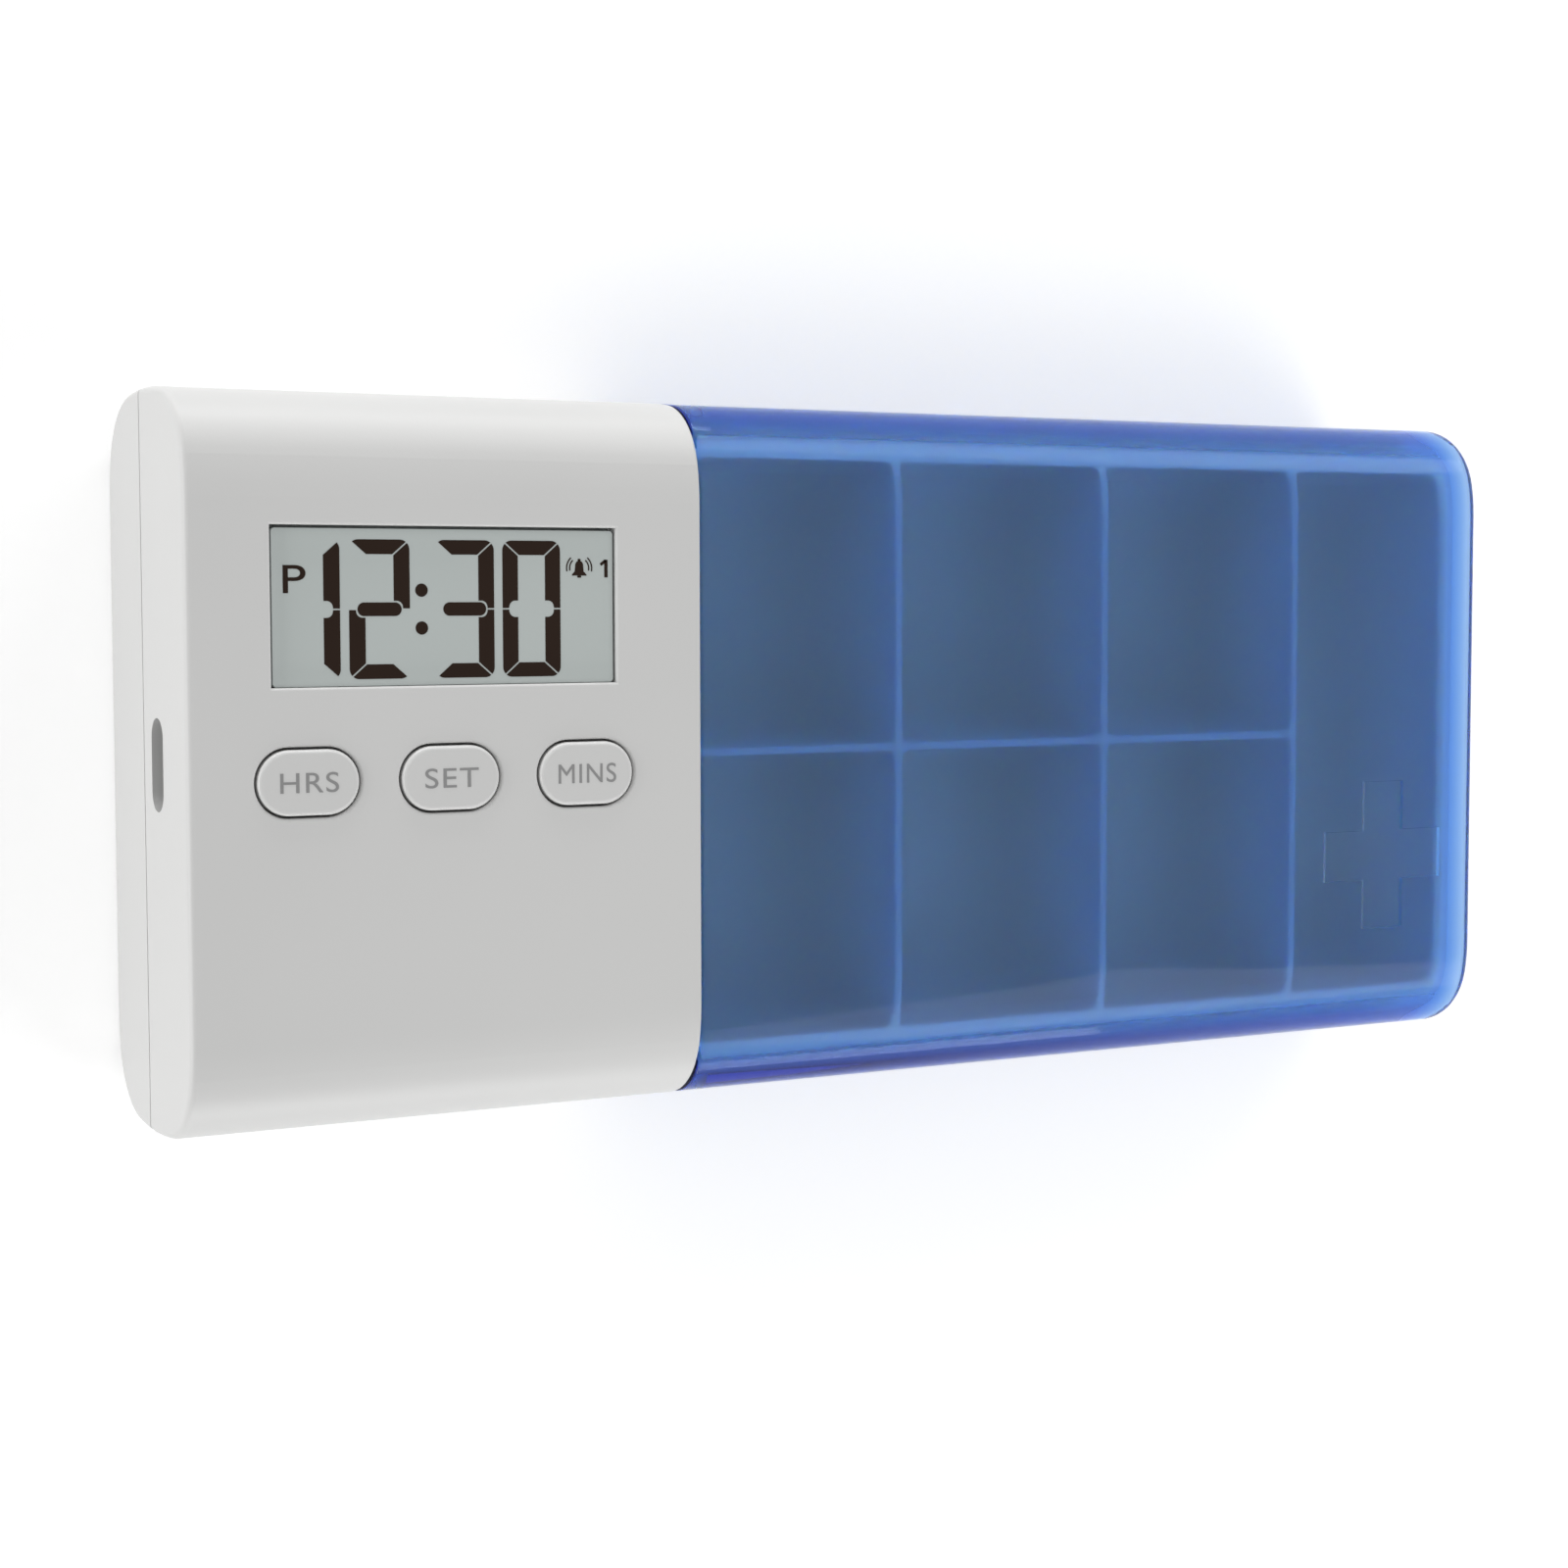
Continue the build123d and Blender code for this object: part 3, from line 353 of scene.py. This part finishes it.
# %% Make the display's layers
surface("polarising film, grey-green", grain=0.2 * MM, depth=0.001 * MM,
        shades=("#cfd6d4", "#d3dad8"), roughness=(0.45, 0.50), Specular_IOR_Level=0.2,
        solids=["display_front_film"])
surface("aluminised film, matt", grain=0.15 * MM, depth=0.002 * MM,
        shades=("#c8cccb", "#d6d9d8"), roughness=(0.38, 0.46), Metallic=1.0,
        solids=["display_reflector"])
surface("float glass, ground edges", grain=0.3 * MM, depth=0.0005 * MM,
        shades=("#eef5f1", "#f6faf8"), roughness=(0.02, 0.05), IOR=1.52, Transmission_Weight=0.9,
        solids=["display_front_glass", "display_rear_glass"])

# %% [markdown]
# ## Plates
#
# The rest of the display is made of flat plates: the cover, and the signs that show through it. A
# texture could show the signs, but thin plates stay sharp at any size and survive an export. A plate is
# a grid of one face, stretched, with its corners bevelled and then pulled up. It is modelled in
# millimetres and one millimetre deep, which keeps cuts exact, and scaled down when it is put in place.

# %% Helpers for plates
corner_segments = 8


def deepen(shape, faces):
    """Give flat faces that lie on z = 0 one unit of depth."""
    added = bmesh.ops.extrude_face_region(shape, geom=faces)["geom"]
    bmesh.ops.translate(shape, vec=(0, 0, 1), verts=[g for g in added if isinstance(g, bmesh.types.BMVert)])


def plate(shape, size, corner=0.0, middle=(0, 0), turned=0.0):
    """Add a plate with rounded corners to a bmesh, turned about its own middle and then placed."""
    before = set(shape.verts)
    flat = bmesh.ops.create_grid(shape, x_segments=1, y_segments=1, size=0.5)["verts"]
    bmesh.ops.scale(shape, vec=(*size, 1), verts=flat)
    if corner:
        bmesh.ops.bevel(shape, geom=flat, offset=corner, segments=corner_segments, profile=0.5,
                        affect="VERTICES", material=-1)
    deepen(shape, [f for f in shape.faces if before.isdisjoint(f.verts)])
    added = [v for v in shape.verts if v not in before]
    bmesh.ops.rotate(shape, matrix=Matrix.Rotation(turned, 3, "Z"), verts=added)
    bmesh.ops.translate(shape, vec=(*middle, 0), verts=added)


# %% [markdown]
# Every piece passes through the same last steps: its doubles are merged, its faces are turned outward,
# and the shape becomes an object. Modifiers and text need an object to work on, so a second helper
# takes the finished mesh back from one and deletes the object.

# %% Helpers for objects
same_place = 1e-6


def make_object(name, shape):
    """Turn a bmesh into an object of the scene, with its doubles merged and its faces outward."""
    bmesh.ops.remove_doubles(shape, verts=shape.verts, dist=same_place)
    bmesh.ops.recalc_face_normals(shape, faces=shape.faces)
    mesh = bpy.data.meshes.new(name)
    shape.to_mesh(mesh)
    shape.free()
    made = bpy.data.objects.new(name, mesh)
    bpy.context.scene.collection.objects.link(made)
    return made


def final_mesh(made):
    """Mesh of an object with its modifiers applied; the object itself is deleted."""
    evaluated = made.evaluated_get(bpy.context.evaluated_depsgraph_get())
    mesh = bpy.data.meshes.new_from_object(evaluated)
    bpy.data.objects.remove(made)
    return mesh


# %% [markdown]
# ## Display: the cover
#
# A clear cover fills the window over the film and leaves a narrow slot all round, which is the dark
# line along the far sides of the display. Its top lies just below the face, so the signs look as if
# they lay there. Tracing them through clear plastic would cost noise and darken the field, so the cover
# is drawn opaque, in the colour that shows through it, and carries the signs on its top. Since the
# camera looks at them from the left, they lie a little further left than they would on the film.

# %% Fill the window with its cover
# the window, the slots round the cover and its corners in millimetres
window_size = (29.65, 12.75)
cover_slots = {"ends": 0.20, "far": 0.25, "near": 0.05}
cover_corner = 0.3
cover_below_face = 0.4 * MM
signs_shift = Vector((-0.63, 0.0)) * MM
cover_finish = "clear acrylic over the film, grey-green"

surface(cover_finish, grain=0.2 * MM, depth=0.001 * MM,
        shades=("#bdc4c2", "#c1c8c6"), roughness=(0.45, 0.50), Specular_IOR_Level=0.2)
film_low, film_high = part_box("display_front_film")
film_middle = ((film_low + film_high) / 2).xy
cover_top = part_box("front_shell")[1].z - cover_below_face
cover_size = (window_size[0] - 2 * cover_slots["ends"],
              window_size[1] - cover_slots["far"] - cover_slots["near"])
cover_middle = film_middle + Vector((0, (cover_slots["near"] - cover_slots["far"]) / 2)) * MM

cover_shape = bmesh.new()
plate(cover_shape, cover_size, cover_corner)
bmesh.ops.scale(cover_shape, vec=(MM, MM, cover_top - film_high.z), verts=cover_shape.verts)
bmesh.ops.translate(cover_shape, vec=(*cover_middle, film_high.z), verts=cover_shape.verts)
cover = make_object("display_cover", cover_shape)
cover.data.materials.append(bpy.data.materials[cover_finish])
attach(cover, "timer")
print("cover is", [round(side / MM, 2) for side in cover.dimensions], "mm")

# %% [markdown]
# ## Display: digits and signs
#
# Dark segments show where the crystal is switched on: here the plain time 12:30, a P for the
# afternoon, and a bell with a 1 for the first alarm. On the real panel they have no thickness. Here
# each is a piece a fiftieth of a millimetre thick, laid on the cover.
#
# Each digit is the same figure eight of seven segments with some of them dark. The segments could be
# drawn one by one, but on the real glass they are one outline with narrow gaps cut through it, so they
# are made that way: an upright rounded frame, mitre cuts at its corners and one cut at mid height, and
# a round-ended bar across the middle. A Boolean modifier makes the cuts, and the loose pieces that it
# leaves are the segments, told apart by where they lie. The cutting plates are three times as deep as
# the blank and start below it, so no two faces coincide.

# %% Carve the figure eight
digit_size = (5.1, 11.05)
digit_hole = (2.4, 8.73)
digit_corner = 0.8
middle_bar = (3.7, 1.08)
gap_width = 0.13
overrun = 1

blank = bmesh.new()
plate(blank, digit_size, digit_corner)
eight = make_object("figure_eight", blank)
cuts = bmesh.new()
plate(cuts, digit_hole)
plate(cuts, [side + 2 * gap_width for side in middle_bar], middle_bar[1] / 2)
plate(cuts, (digit_size[0] + 2 * overrun, gap_width))
stroke = [(outer_side - hole_side) / 2 for outer_side, hole_side in zip(digit_size, digit_hole)]
mitre_length = 4 * stroke[0]
mitre_slope = math.atan2(stroke[1], stroke[0])
for x_side in (-1, 1):
    for y_side in (-1, 1):
        corner_middle = (x_side * (digit_hole[0] + stroke[0]) / 2, y_side * (digit_hole[1] + stroke[1]) / 2)
        plate(cuts, (mitre_length, gap_width), 0, corner_middle, x_side * y_side * mitre_slope)
bmesh.ops.scale(cuts, vec=(1, 1, 1 + 2 * overrun), verts=cuts.verts)
bmesh.ops.translate(cuts, vec=(0, 0, -overrun), verts=cuts.verts)
knife = make_object("digit_cuts", cuts)
carve = eight.modifiers.new("cut", "BOOLEAN")
carve.operation = "DIFFERENCE"
carve.solver = "EXACT"
carve.use_self = True
carve.object = knife
segments_mesh = final_mesh(eight)
bpy.data.objects.remove(knife)
print("figure eight:", len(segments_mesh.polygons), "faces")

# %% [markdown]
# A sign is put together from several shapes, and the eight has to fall apart again into its segments.
# No bmesh operator hands over the pieces of a mesh that hang together, so one helper walks along the
# edges from a vertex until there is no other to reach. The last helper turns a sign from millimetres
# into metres, gives it its thickness and lays it on the face that carries it.

# %% Helpers for pieces of a sign
ink_depth = 0.02 * MM


def add_mesh(shape, mesh):
    """Append a mesh to a bmesh and return its new vertices."""
    before = set(shape.verts)
    shape.from_mesh(mesh)
    return [v for v in shape.verts if v not in before]


def loose_pieces(verts):
    """Sort vertices into sets, one for each piece that hangs together."""
    left, pieces = set(verts), []
    while left:
        piece, rim = set(), {left.pop()}
        while rim:
            piece |= rim
            rim = {e.other_vert(v) for v in rim for e in v.link_edges} & left
            left -= rim
        pieces.append(piece)
    return pieces


def lay(name, shape, middle, height, body, material_name):
    """Scale a sign from millimetres to metres, flatten it, lay it on a face and let it ride."""
    bmesh.ops.scale(shape, vec=(MM, MM, ink_depth), verts=shape.verts)
    bmesh.ops.translate(shape, vec=(*middle, height), verts=shape.verts)
    made = make_object(name, shape)
    made.data.materials.append(bpy.data.materials[material_name])
    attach(made, body)
    print(name, "is", [round(side / MM, 2) for side in made.dimensions], "mm")


# %% [markdown]
# Every digit starts as the whole eight: its dark segments move to the digit's place and the others are
# deleted. The middle bar is a plate of its own, because the cuts leave nothing across the middle. A
# dark segment lets through a trace of red light only, so the eye gets a warm black without any shine.

# %% Darken the segments of 12:30
signs_middle = film_middle + signs_shift
surface("liquid crystal, dark", grain=0.1 * MM, depth=0.0005 * MM,
        shades=("#241710", "#291c14"), roughness=(0.45, 0.5), Specular_IOR_Level=0.1)

segment_letters = {(0, 1): "a", (1, 1): "b", (1, -1): "c", (0, -1): "d", (-1, -1): "e", (-1, 1): "f"}
# each digit's place along the display in millimetres, and its dark segments
digits = ((-10.98, "bc"), (-5.13, "abged"), (2.12, "abgcd"), (7.97, "abcdef"))
digit_drop = -0.255
colon_middle = -1.58
colon_rise = 1.51
dot_radius = 0.53

time_signs = bmesh.new()
for digit_x, dark in digits:
    for piece in loose_pieces(add_mesh(time_signs, segments_mesh)):
        middle = [sum(v.co[axis] for v in piece) / len(piece) for axis in (0, 1)]
        spot = (round(middle[0] / digit_hole[0]), 1 if middle[1] > 0 else -1)
        if segment_letters[spot] in dark:
            bmesh.ops.translate(time_signs, vec=(digit_x, digit_drop, 0), verts=list(piece))
        else:
            bmesh.ops.delete(time_signs, geom=list(piece), context="VERTS")
    if "g" in dark:
        plate(time_signs, middle_bar, middle_bar[1] / 2, (digit_x, digit_drop))
for rise in (-colon_rise, colon_rise):
    plate(time_signs, (2 * dot_radius, 2 * dot_radius), dot_radius, (colon_middle, digit_drop + rise))
lay("display_digits", time_signs, signs_middle, cover_top, "timer", "liquid crystal, dark")

# %% [markdown]
# ## Display: the small signs
#
# The P is a plain letter, so a text curve gives it for free. It is turned into a mesh before it is
# placed, because a text object can't be moved inside its own data.

# %% Make the letter
half_depth = 0.5


def fit(shape, verts, size, middle):
    """Stretch vertices to a width and a height and centre them on a place."""
    spans = [[v.co[axis] for v in verts] for axis in (0, 1)]
    centre = [(min(span) + max(span)) / 2 for span in spans]
    grow = [side / (max(span) - min(span)) for side, span in zip(size, spans)]
    bmesh.ops.translate(shape, vec=(-centre[0], -centre[1], 0), verts=verts)
    bmesh.ops.scale(shape, vec=(*grow, 1), verts=verts)
    bmesh.ops.translate(shape, vec=(*middle, 0), verts=verts)


def letters(shape, text, size, middle, spacing=1.0):
    """Add plain letters of a given size to a bmesh, one unit deep."""
    curve = bpy.data.curves.new(text, "FONT")
    curve.body = text
    curve.extrude = half_depth
    curve.space_character = spacing
    made = bpy.data.objects.new(text, curve)
    bpy.context.scene.collection.objects.link(made)
    verts = add_mesh(shape, final_mesh(made))
    bmesh.ops.translate(shape, vec=(0, 0, half_depth), verts=verts)
    fit(shape, verts, size, middle)


letter_size = (1.85, 2.19)
letter_middle = (-12.155, 2.12)
afternoon = bmesh.new()
letters(afternoon, "P", letter_size, letter_middle)
lay("display_afternoon_mark", afternoon, signs_middle, cover_top, "timer",
    "liquid crystal, dark")

# %% [markdown]
# The bell is drawn the way that a sign maker would. Half a disc is its crown, and the disc's cut edge is
# pulled down three times: into the waist, the wider skirt and the straight lip. A knob and a clapper
# are small plates. The finished bell is then stretched to its size.

# %% Draw the bell
bell_size = (1.30, 1.55)
crown_radius = 0.36
crown_segments = 32
# how much each pull widens the edge, and how far down it goes
pulls = {"waist": (1.12, 0.42), "skirt": (1.62, 0.22), "lip": (1.0, 0.08)}
knob_size, knob_corner, knob_height = (0.26, 0.18), 0.08, 0.41
clapper_size, clapper_corner, clapper_height = (0.36, 0.14), 0.06, -0.80

alarm = bmesh.new()
bmesh.ops.create_circle(alarm, cap_ends=True, segments=crown_segments, radius=crown_radius)
bmesh.ops.bisect_plane(alarm, geom=alarm.verts[:] + alarm.edges[:] + alarm.faces[:], plane_co=(0, 0, 0),
                       plane_no=(0, 1, 0), clear_inner=True)
rim = [e for e in alarm.edges if all(abs(v.co.y) < same_place for v in e.verts)]
for widen, drop in pulls.values():
    pulled = bmesh.ops.extrude_edge_only(alarm, edges=rim)["geom"]
    rim = [g for g in pulled if isinstance(g, bmesh.types.BMEdge)]
    pulled_verts = [g for g in pulled if isinstance(g, bmesh.types.BMVert)]
    bmesh.ops.scale(alarm, vec=(widen, 1, 1), verts=pulled_verts)
    bmesh.ops.translate(alarm, vec=(0, -drop, 0), verts=pulled_verts)
deepen(alarm, alarm.faces[:])
plate(alarm, knob_size, knob_corner, (0, knob_height))
plate(alarm, clapper_size, clapper_corner, (0, clapper_height))
fit(alarm, alarm.verts[:], bell_size, (0, 0))
print("bell has", len(alarm.faces), "faces")

# %% [markdown]
# Two thin arcs on each side say that the bell is ringing. An arc could be cut from a ring, but a short
# edge spun about the bell's middle gives it in one step. The 1 beside the bell is two plates, a stem
# and a slanted flag, with no foot, as such displays draw it.

# %% Add its waves and the 1
bell_middle = (12.24, 3.055)
wave_radii = (0.86, 1.13)
wave_bearings = (math.radians(18), math.radians(162))
wave_width = 0.11
wave_angle = math.radians(62)
wave_steps = 8
one_corner = 0.03
one_stem, one_stem_middle = (0.30, 1.46), (14.66, 3.035)
one_flag, one_flag_middle, one_flag_slope = (0.58, 0.24), (14.40, 3.52), math.radians(38)

before_waves = set(alarm.verts)
for wave_radius in wave_radii:
    for bearing in wave_bearings:
        ends = [bmesh.ops.create_vert(alarm, co=(wave_radius + way * wave_width / 2, 0, 0))["vert"][0]
                for way in (-1, 1)]
        wave_stroke = alarm.edges.new(ends)
        bmesh.ops.rotate(alarm, matrix=Matrix.Rotation(bearing - wave_angle / 2, 3, "Z"), verts=ends)
        bmesh.ops.spin(alarm, geom=[*ends, wave_stroke], cent=(0, 0, 0), axis=(0, 0, 1), angle=wave_angle,
                       steps=wave_steps)
deepen(alarm, [f for f in alarm.faces if before_waves.isdisjoint(f.verts)])
bmesh.ops.translate(alarm, vec=(*bell_middle, 0), verts=alarm.verts)
plate(alarm, one_stem, one_corner, one_stem_middle)
plate(alarm, one_flag, one_corner, one_flag_middle, one_flag_slope)
lay("display_alarm_mark", alarm, signs_middle, cover_top, "timer", "liquid crystal, dark")

# %% [markdown]
# ## Words on the buttons
#
# Each cap is pad-printed with a short grey word in a plain face. On the real part the ink is a few
# hundredths of a millimetre thick and rounds off at its edges, too little to see from here, so thin
# letter plates on the cap are enough. They ride on the buttons, so they go down with the press.

# %% Print the buttons
surface("pad-printing ink, grey", grain=0.15 * MM, depth=0.001 * MM,
        shades=("#8c8c8c", "#949494"), roughness=(0.5, 0.6), Specular_IOR_Level=0.3)
word_height = 1.6
word_spacing = 1.1
# each word and its length in millimetres
words = {"hour_button": ("HRS", 4.8), "mode_button": ("SET", 4.6), "minute_button": ("MINS", 5.2)}
for button_name, (word, word_length) in words.items():
    cap_low, cap_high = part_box(button_name)
    printed = bmesh.new()
    letters(printed, word, (word_length, word_height), (0, 0), word_spacing)
    lay(button_name + "_word", printed, ((cap_low + cap_high) / 2).xy, cap_high.z, button_name,
        "pad-printing ink, grey")

# %% [markdown]
# ## Circuit board
#
# The board is glass-fibre laminate under a green solder resist. The eye gets a glossy green skin with
# the copper tracks showing through as slightly raised, lighter lines, and the weave of the glass as a
# faint check. A Brick texture draws the tracks, because its mortar lines run square to each other and
# end at one another as tracks do. A Mix node multiplies tracks and weave; it has sockets for numbers,
# vectors and colours, some of the same name, so those for colours are picked by their place.

# %% Make the board
mix_first, mix_second, mix_result = 6, 7, 2
track_pitch = (2.6 * MM, 1.3 * MM)
track_width = 0.22 * MM
track_height = 0.03 * MM
weave_pitch = 0.5 * MM

board, shader, place = start_material("glass-fibre laminate, green solder resist", IOR=1.5, Roughness=0.28)
tracks = add_node(board, "ShaderNodeTexBrick", {
    "Scale": 1.0, "Brick Width": track_pitch[0], "Row Height": track_pitch[1], "Mortar Size": track_width,
    "Color1": linear("#1d5a38"), "Color2": linear("#195234"), "Mortar": linear("#3c8a58")}, {"Vector": place})
weave = add_node(board, "ShaderNodeTexChecker", {
    "Scale": 1 / weave_pitch, "Color1": (1, 1, 1, 1), "Color2": (0.88, 0.88, 0.88, 1)}, {"Vector": place})
woven = add_node(board, "ShaderNodeMix", {"Factor": 1.0},
                 {mix_first: tracks.outputs["Color"], mix_second: weave.outputs["Color"]},
                 data_type="RGBA", blend_type="MULTIPLY")
join(woven.outputs[mix_result], shader.inputs["Base Color"])
raised = add_node(board, "ShaderNodeBump", {"Distance": track_height}, {"Height": tracks.outputs["Fac"]})
join(raised.outputs["Normal"], shader.inputs["Normal"])
wear("glass-fibre laminate, green solder resist", "circuit_board")
print("tracks every", [round(pitch / MM, 1) for pitch in track_pitch], "mm")

# %% [markdown]
# The parts on the board each get the finish of what they are made of. The chip sits under a drop of
# black epoxy, whose skin is smooth but uneven, because it set as it ran. The small parts are fired
# ceramic, matt and tan. The sounder's case is glass-filled polyester, and the switches and their
# plungers are nylon, both black and moulded, with nylon the smoother.

# %% Finish the parts on the board
surface("epoxy, poured black", grain=1.5 * MM, depth=0.05 * MM,
        shades=("#141414", "#1c1c1d"), roughness=(0.22, 0.34), IOR=1.55, solids=["chip_blob"])
surface("barium titanate ceramic, fired", grain=0.1 * MM, depth=0.003 * MM,
        shades=("#8a7358", "#9c8467"), roughness=(0.5, 0.6), solids=["board_parts"])
surface("thermoplastic polyester, black", grain=0.25 * MM, depth=0.003 * MM,
        shades=("#1b1b1c", "#232324"), roughness=(0.42, 0.5), solids=["sounder_case", "sounder_base"])
surface("nylon, moulded black", grain=0.2 * MM, depth=0.002 * MM,
        shades=("#202021", "#28282a"), roughness=(0.38, 0.46),
        solids=[f"{name}_{part}" for name in ("hour", "mode", "minute") for part in ("switch", "plunger")])

# %% [markdown]
# ## Metals inside
#
# The contacts, leads, screws and the crystal's can are steel or copper under a thin plating, and the
# switches' domes are bare stainless steel. A metal has no colour of its own below the shine, so its
# tint is the colour of its reflection, and what tells the kinds apart is the finish: rolled strip is
# streaked along its length, a drawn can is nearly mirror smooth, and plated screws are cloudy. The
# streaks are a Noise texture stretched by a Mapping node: a scale of less than 1 along an axis draws
# the grain out along it.

# %% Make the metals
def metal(name, stretch, grain, depth, shades, roughness, solids):
    """Make a metal whose grain may be stretched along an axis, and give it to the named solids."""
    material, shader, place = start_material(name, Metallic=1.0)
    drawn = add_node(material, "ShaderNodeMapping", {"Scale": stretch}, {"Vector": place})
    mould_grain(material, shader, drawn.outputs["Vector"], grain, depth, shades, roughness)
    wear(name, *solids)
    print(name, "on", len(solids), "of the solids")


metal("spring steel, nickel-plated", stretch=(1, 1, 0.08), grain=0.12 * MM, depth=0.002 * MM,
      shades=("#c3beb4", "#d2cdc3"), roughness=(0.24, 0.38),
      solids=["positive_contact", "negative_contact", "bridge_contact"])
metal("stainless steel, stamped", stretch=(0.1, 1, 1), grain=0.1 * MM, depth=0.001 * MM,
      shades=("#c6c7c8", "#d3d4d5"), roughness=(0.2, 0.3), solids=["switch_domes"])
metal("crystal can, drawn and nickel-plated", stretch=(0.1, 1, 1), grain=0.1 * MM, depth=0.0005 * MM,
      shades=("#cbc8c1", "#d6d3cc"), roughness=(0.12, 0.2), solids=["quartz_crystal"])
metal("copper wire, tinned", stretch=(1, 1, 1), grain=0.15 * MM, depth=0.002 * MM,
      shades=("#c9c9c7", "#d8d8d5"), roughness=(0.25, 0.4), solids=["sounder_leads"])
metal("steel, zinc-plated", stretch=(1, 1, 1), grain=0.3 * MM, depth=0.003 * MM,
      shades=("#b3b8bc", "#c5c9cc"), roughness=(0.26, 0.42), solids=["case_screws", "board_screws"])

# %% [markdown]
# ## Conductive rubber strip
#
# The strip that joins the glass to the board is silicone rubber in thin slices, one conducting and
# black, the next insulating and pink. On the real strip they are a twentieth of a millimetre apart,
# which would render as one mixed colour, so they are drawn eight times coarser, and the eye can tell
# what the part is. A Wave texture makes the bands. It takes the sine of twenty times the place, so at
# a scale of 1 its bands repeat every 2 pi / 20.

# %% Make the rubber strip
slice_pitch = 0.4 * MM
wave_repeat = 2 * math.pi / 20
slice_edges = ((0.42, "#242326"), (0.58, "#c79a97"))

rubber, shader, place = start_material("silicone rubber, in slices", IOR=1.41, Roughness=0.6)
slices = add_node(rubber, "ShaderNodeTexWave", {"Scale": wave_repeat / slice_pitch}, {"Vector": place})
sliced = add_node(rubber, "ShaderNodeValToRGB", links={"Fac": slices.outputs["Fac"]})
for stop, (spot, hex_code) in zip(sliced.color_ramp.elements, slice_edges):
    stop.position = spot
    stop.color = linear(hex_code)
join(sliced.outputs["Color"], shader.inputs["Base Color"])
wear("silicone rubber, in slices", "contact_strip")
strip_low, strip_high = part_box("contact_strip")
print("strip shows", round((strip_high.x - strip_low.x) / slice_pitch), "pairs of slices")

# %% [markdown]
# ## Sounder disc
#
# The sounder's voice is a brass disc with a smaller disc of white ceramic glued to it. They are one
# solid here, so the ceramic is drawn by distance from the disc's middle. The same share, 0 on ceramic
# and 1 on brass, picks the colour and says where the surface is metal.

# %% Make the sounder disc
ceramic_radius = 2.1 * MM
rolling_grain = 0.2 * MM

disc_low, disc_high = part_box("sounder_diaphragm")
disc, shader, place = start_material("brass sheet with a ceramic disc")
from_centre = add_node(disc, "ShaderNodeVectorMath", {1: (disc_low + disc_high) / 2}, {0: place},
                       operation="DISTANCE")
brass_share = add_node(disc, "ShaderNodeMath", {1: ceramic_radius}, {0: from_centre.outputs["Value"]},
                       operation="GREATER_THAN").outputs[0]
two_tones = add_node(disc, "ShaderNodeMix", {mix_first: linear("#dcd8cc"), mix_second: linear("#c9a45c")},
                     {"Factor": brass_share}, data_type="RGBA")
join(two_tones.outputs[mix_result], shader.inputs["Base Color"])
join(brass_share, shader.inputs["Metallic"])
rolled = add_node(disc, "ShaderNodeTexNoise", {"Scale": 1 / rolling_grain}, {"Vector": place})
rolled_gloss = add_node(disc, "ShaderNodeMapRange", {"To Min": 0.25, "To Max": 0.45},
                        {"Value": rolled.outputs["Fac"]})
join(rolled_gloss.outputs["Result"], shader.inputs["Roughness"])
wear("brass sheet with a ceramic disc", "sounder_diaphragm")
print("disc is", round((disc_high.x - disc_low.x) / MM, 1), "mm across")

# %% [markdown]
# ## Battery cells
#
# A cell is a steel can in a jacket of shrunk film, which covers its side and leaves both ends bare. The
# jacket here is plain: dark, with one pale band near the nub that shows which end is which. The two
# cells lie head to tail, so the height along the cell is measured towards each one's own nub.
# A Color Ramp with constant steps turns that height into zones: bare can, dark film, pale band, can.

# %% Make the cells' jackets
cell_ends = {"left_cell": 1, "right_cell": -1}
bare_bottom = 0.6 * MM
bare_top = 1.9 * MM
band_width = 5.0 * MM
scuff_length = 1.2 * MM
metal_share = {"can": (1, 1, 1, 1), "film": (0, 0, 0, 1)}

for cell_name, nub_way in cell_ends.items():
    cell_low, cell_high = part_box(cell_name)
    bottom, top = sorted((cell_low.y * nub_way, cell_high.y * nub_way))
    length = top - bottom
    cell, shader, place = start_material(f"shrunk film on a steel can, {cell_name.replace('_', ' ')}")
    split = add_node(cell, "ShaderNodeSeparateXYZ", links={0: place})
    height = add_node(cell, "ShaderNodeMath", {1: nub_way}, {0: split.outputs["Y"]}, operation="MULTIPLY")
    height_share = add_node(cell, "ShaderNodeMapRange", {"From Min": bottom, "From Max": top},
                            {"Value": height.outputs[0]})
    zones = ((0, "can", "#b9bcbf"),
             (bare_bottom / length, "film", "#26292d"),
             (1 - (bare_top + band_width) / length, "film", "#c9ccce"),
             (1 - bare_top / length, "can", "#b9bcbf"))
    for socket, values in (("Base Color", [linear(hex_code) for _, _, hex_code in zones]),
                           ("Metallic", [metal_share[stuff] for _, stuff, _ in zones])):
        ramp = add_node(cell, "ShaderNodeValToRGB", links={"Fac": height_share.outputs["Result"]})
        stops = ramp.color_ramp.elements
        ramp.color_ramp.interpolation = "CONSTANT"
        for start, _, _ in zones[1:-1]:
            stops.new(start)
        for stop, (start, _, _), value in zip(stops, zones, values):
            stop.position = start
            stop.color = value
        join(ramp.outputs["Color"], shader.inputs[socket])
    scuffs = add_node(cell, "ShaderNodeTexNoise", {"Scale": 1 / scuff_length, "Detail": 4.0},
                      {"Vector": place})
    gloss = add_node(cell, "ShaderNodeMapRange", {"To Min": 0.2, "To Max": 0.4},
                     {"Value": scuffs.outputs["Fac"]})
    join(gloss.outputs["Result"], shader.inputs["Roughness"])
    wear(cell.name, cell_name)
    print(cell_name, "is", round(length / MM, 1), "mm long")
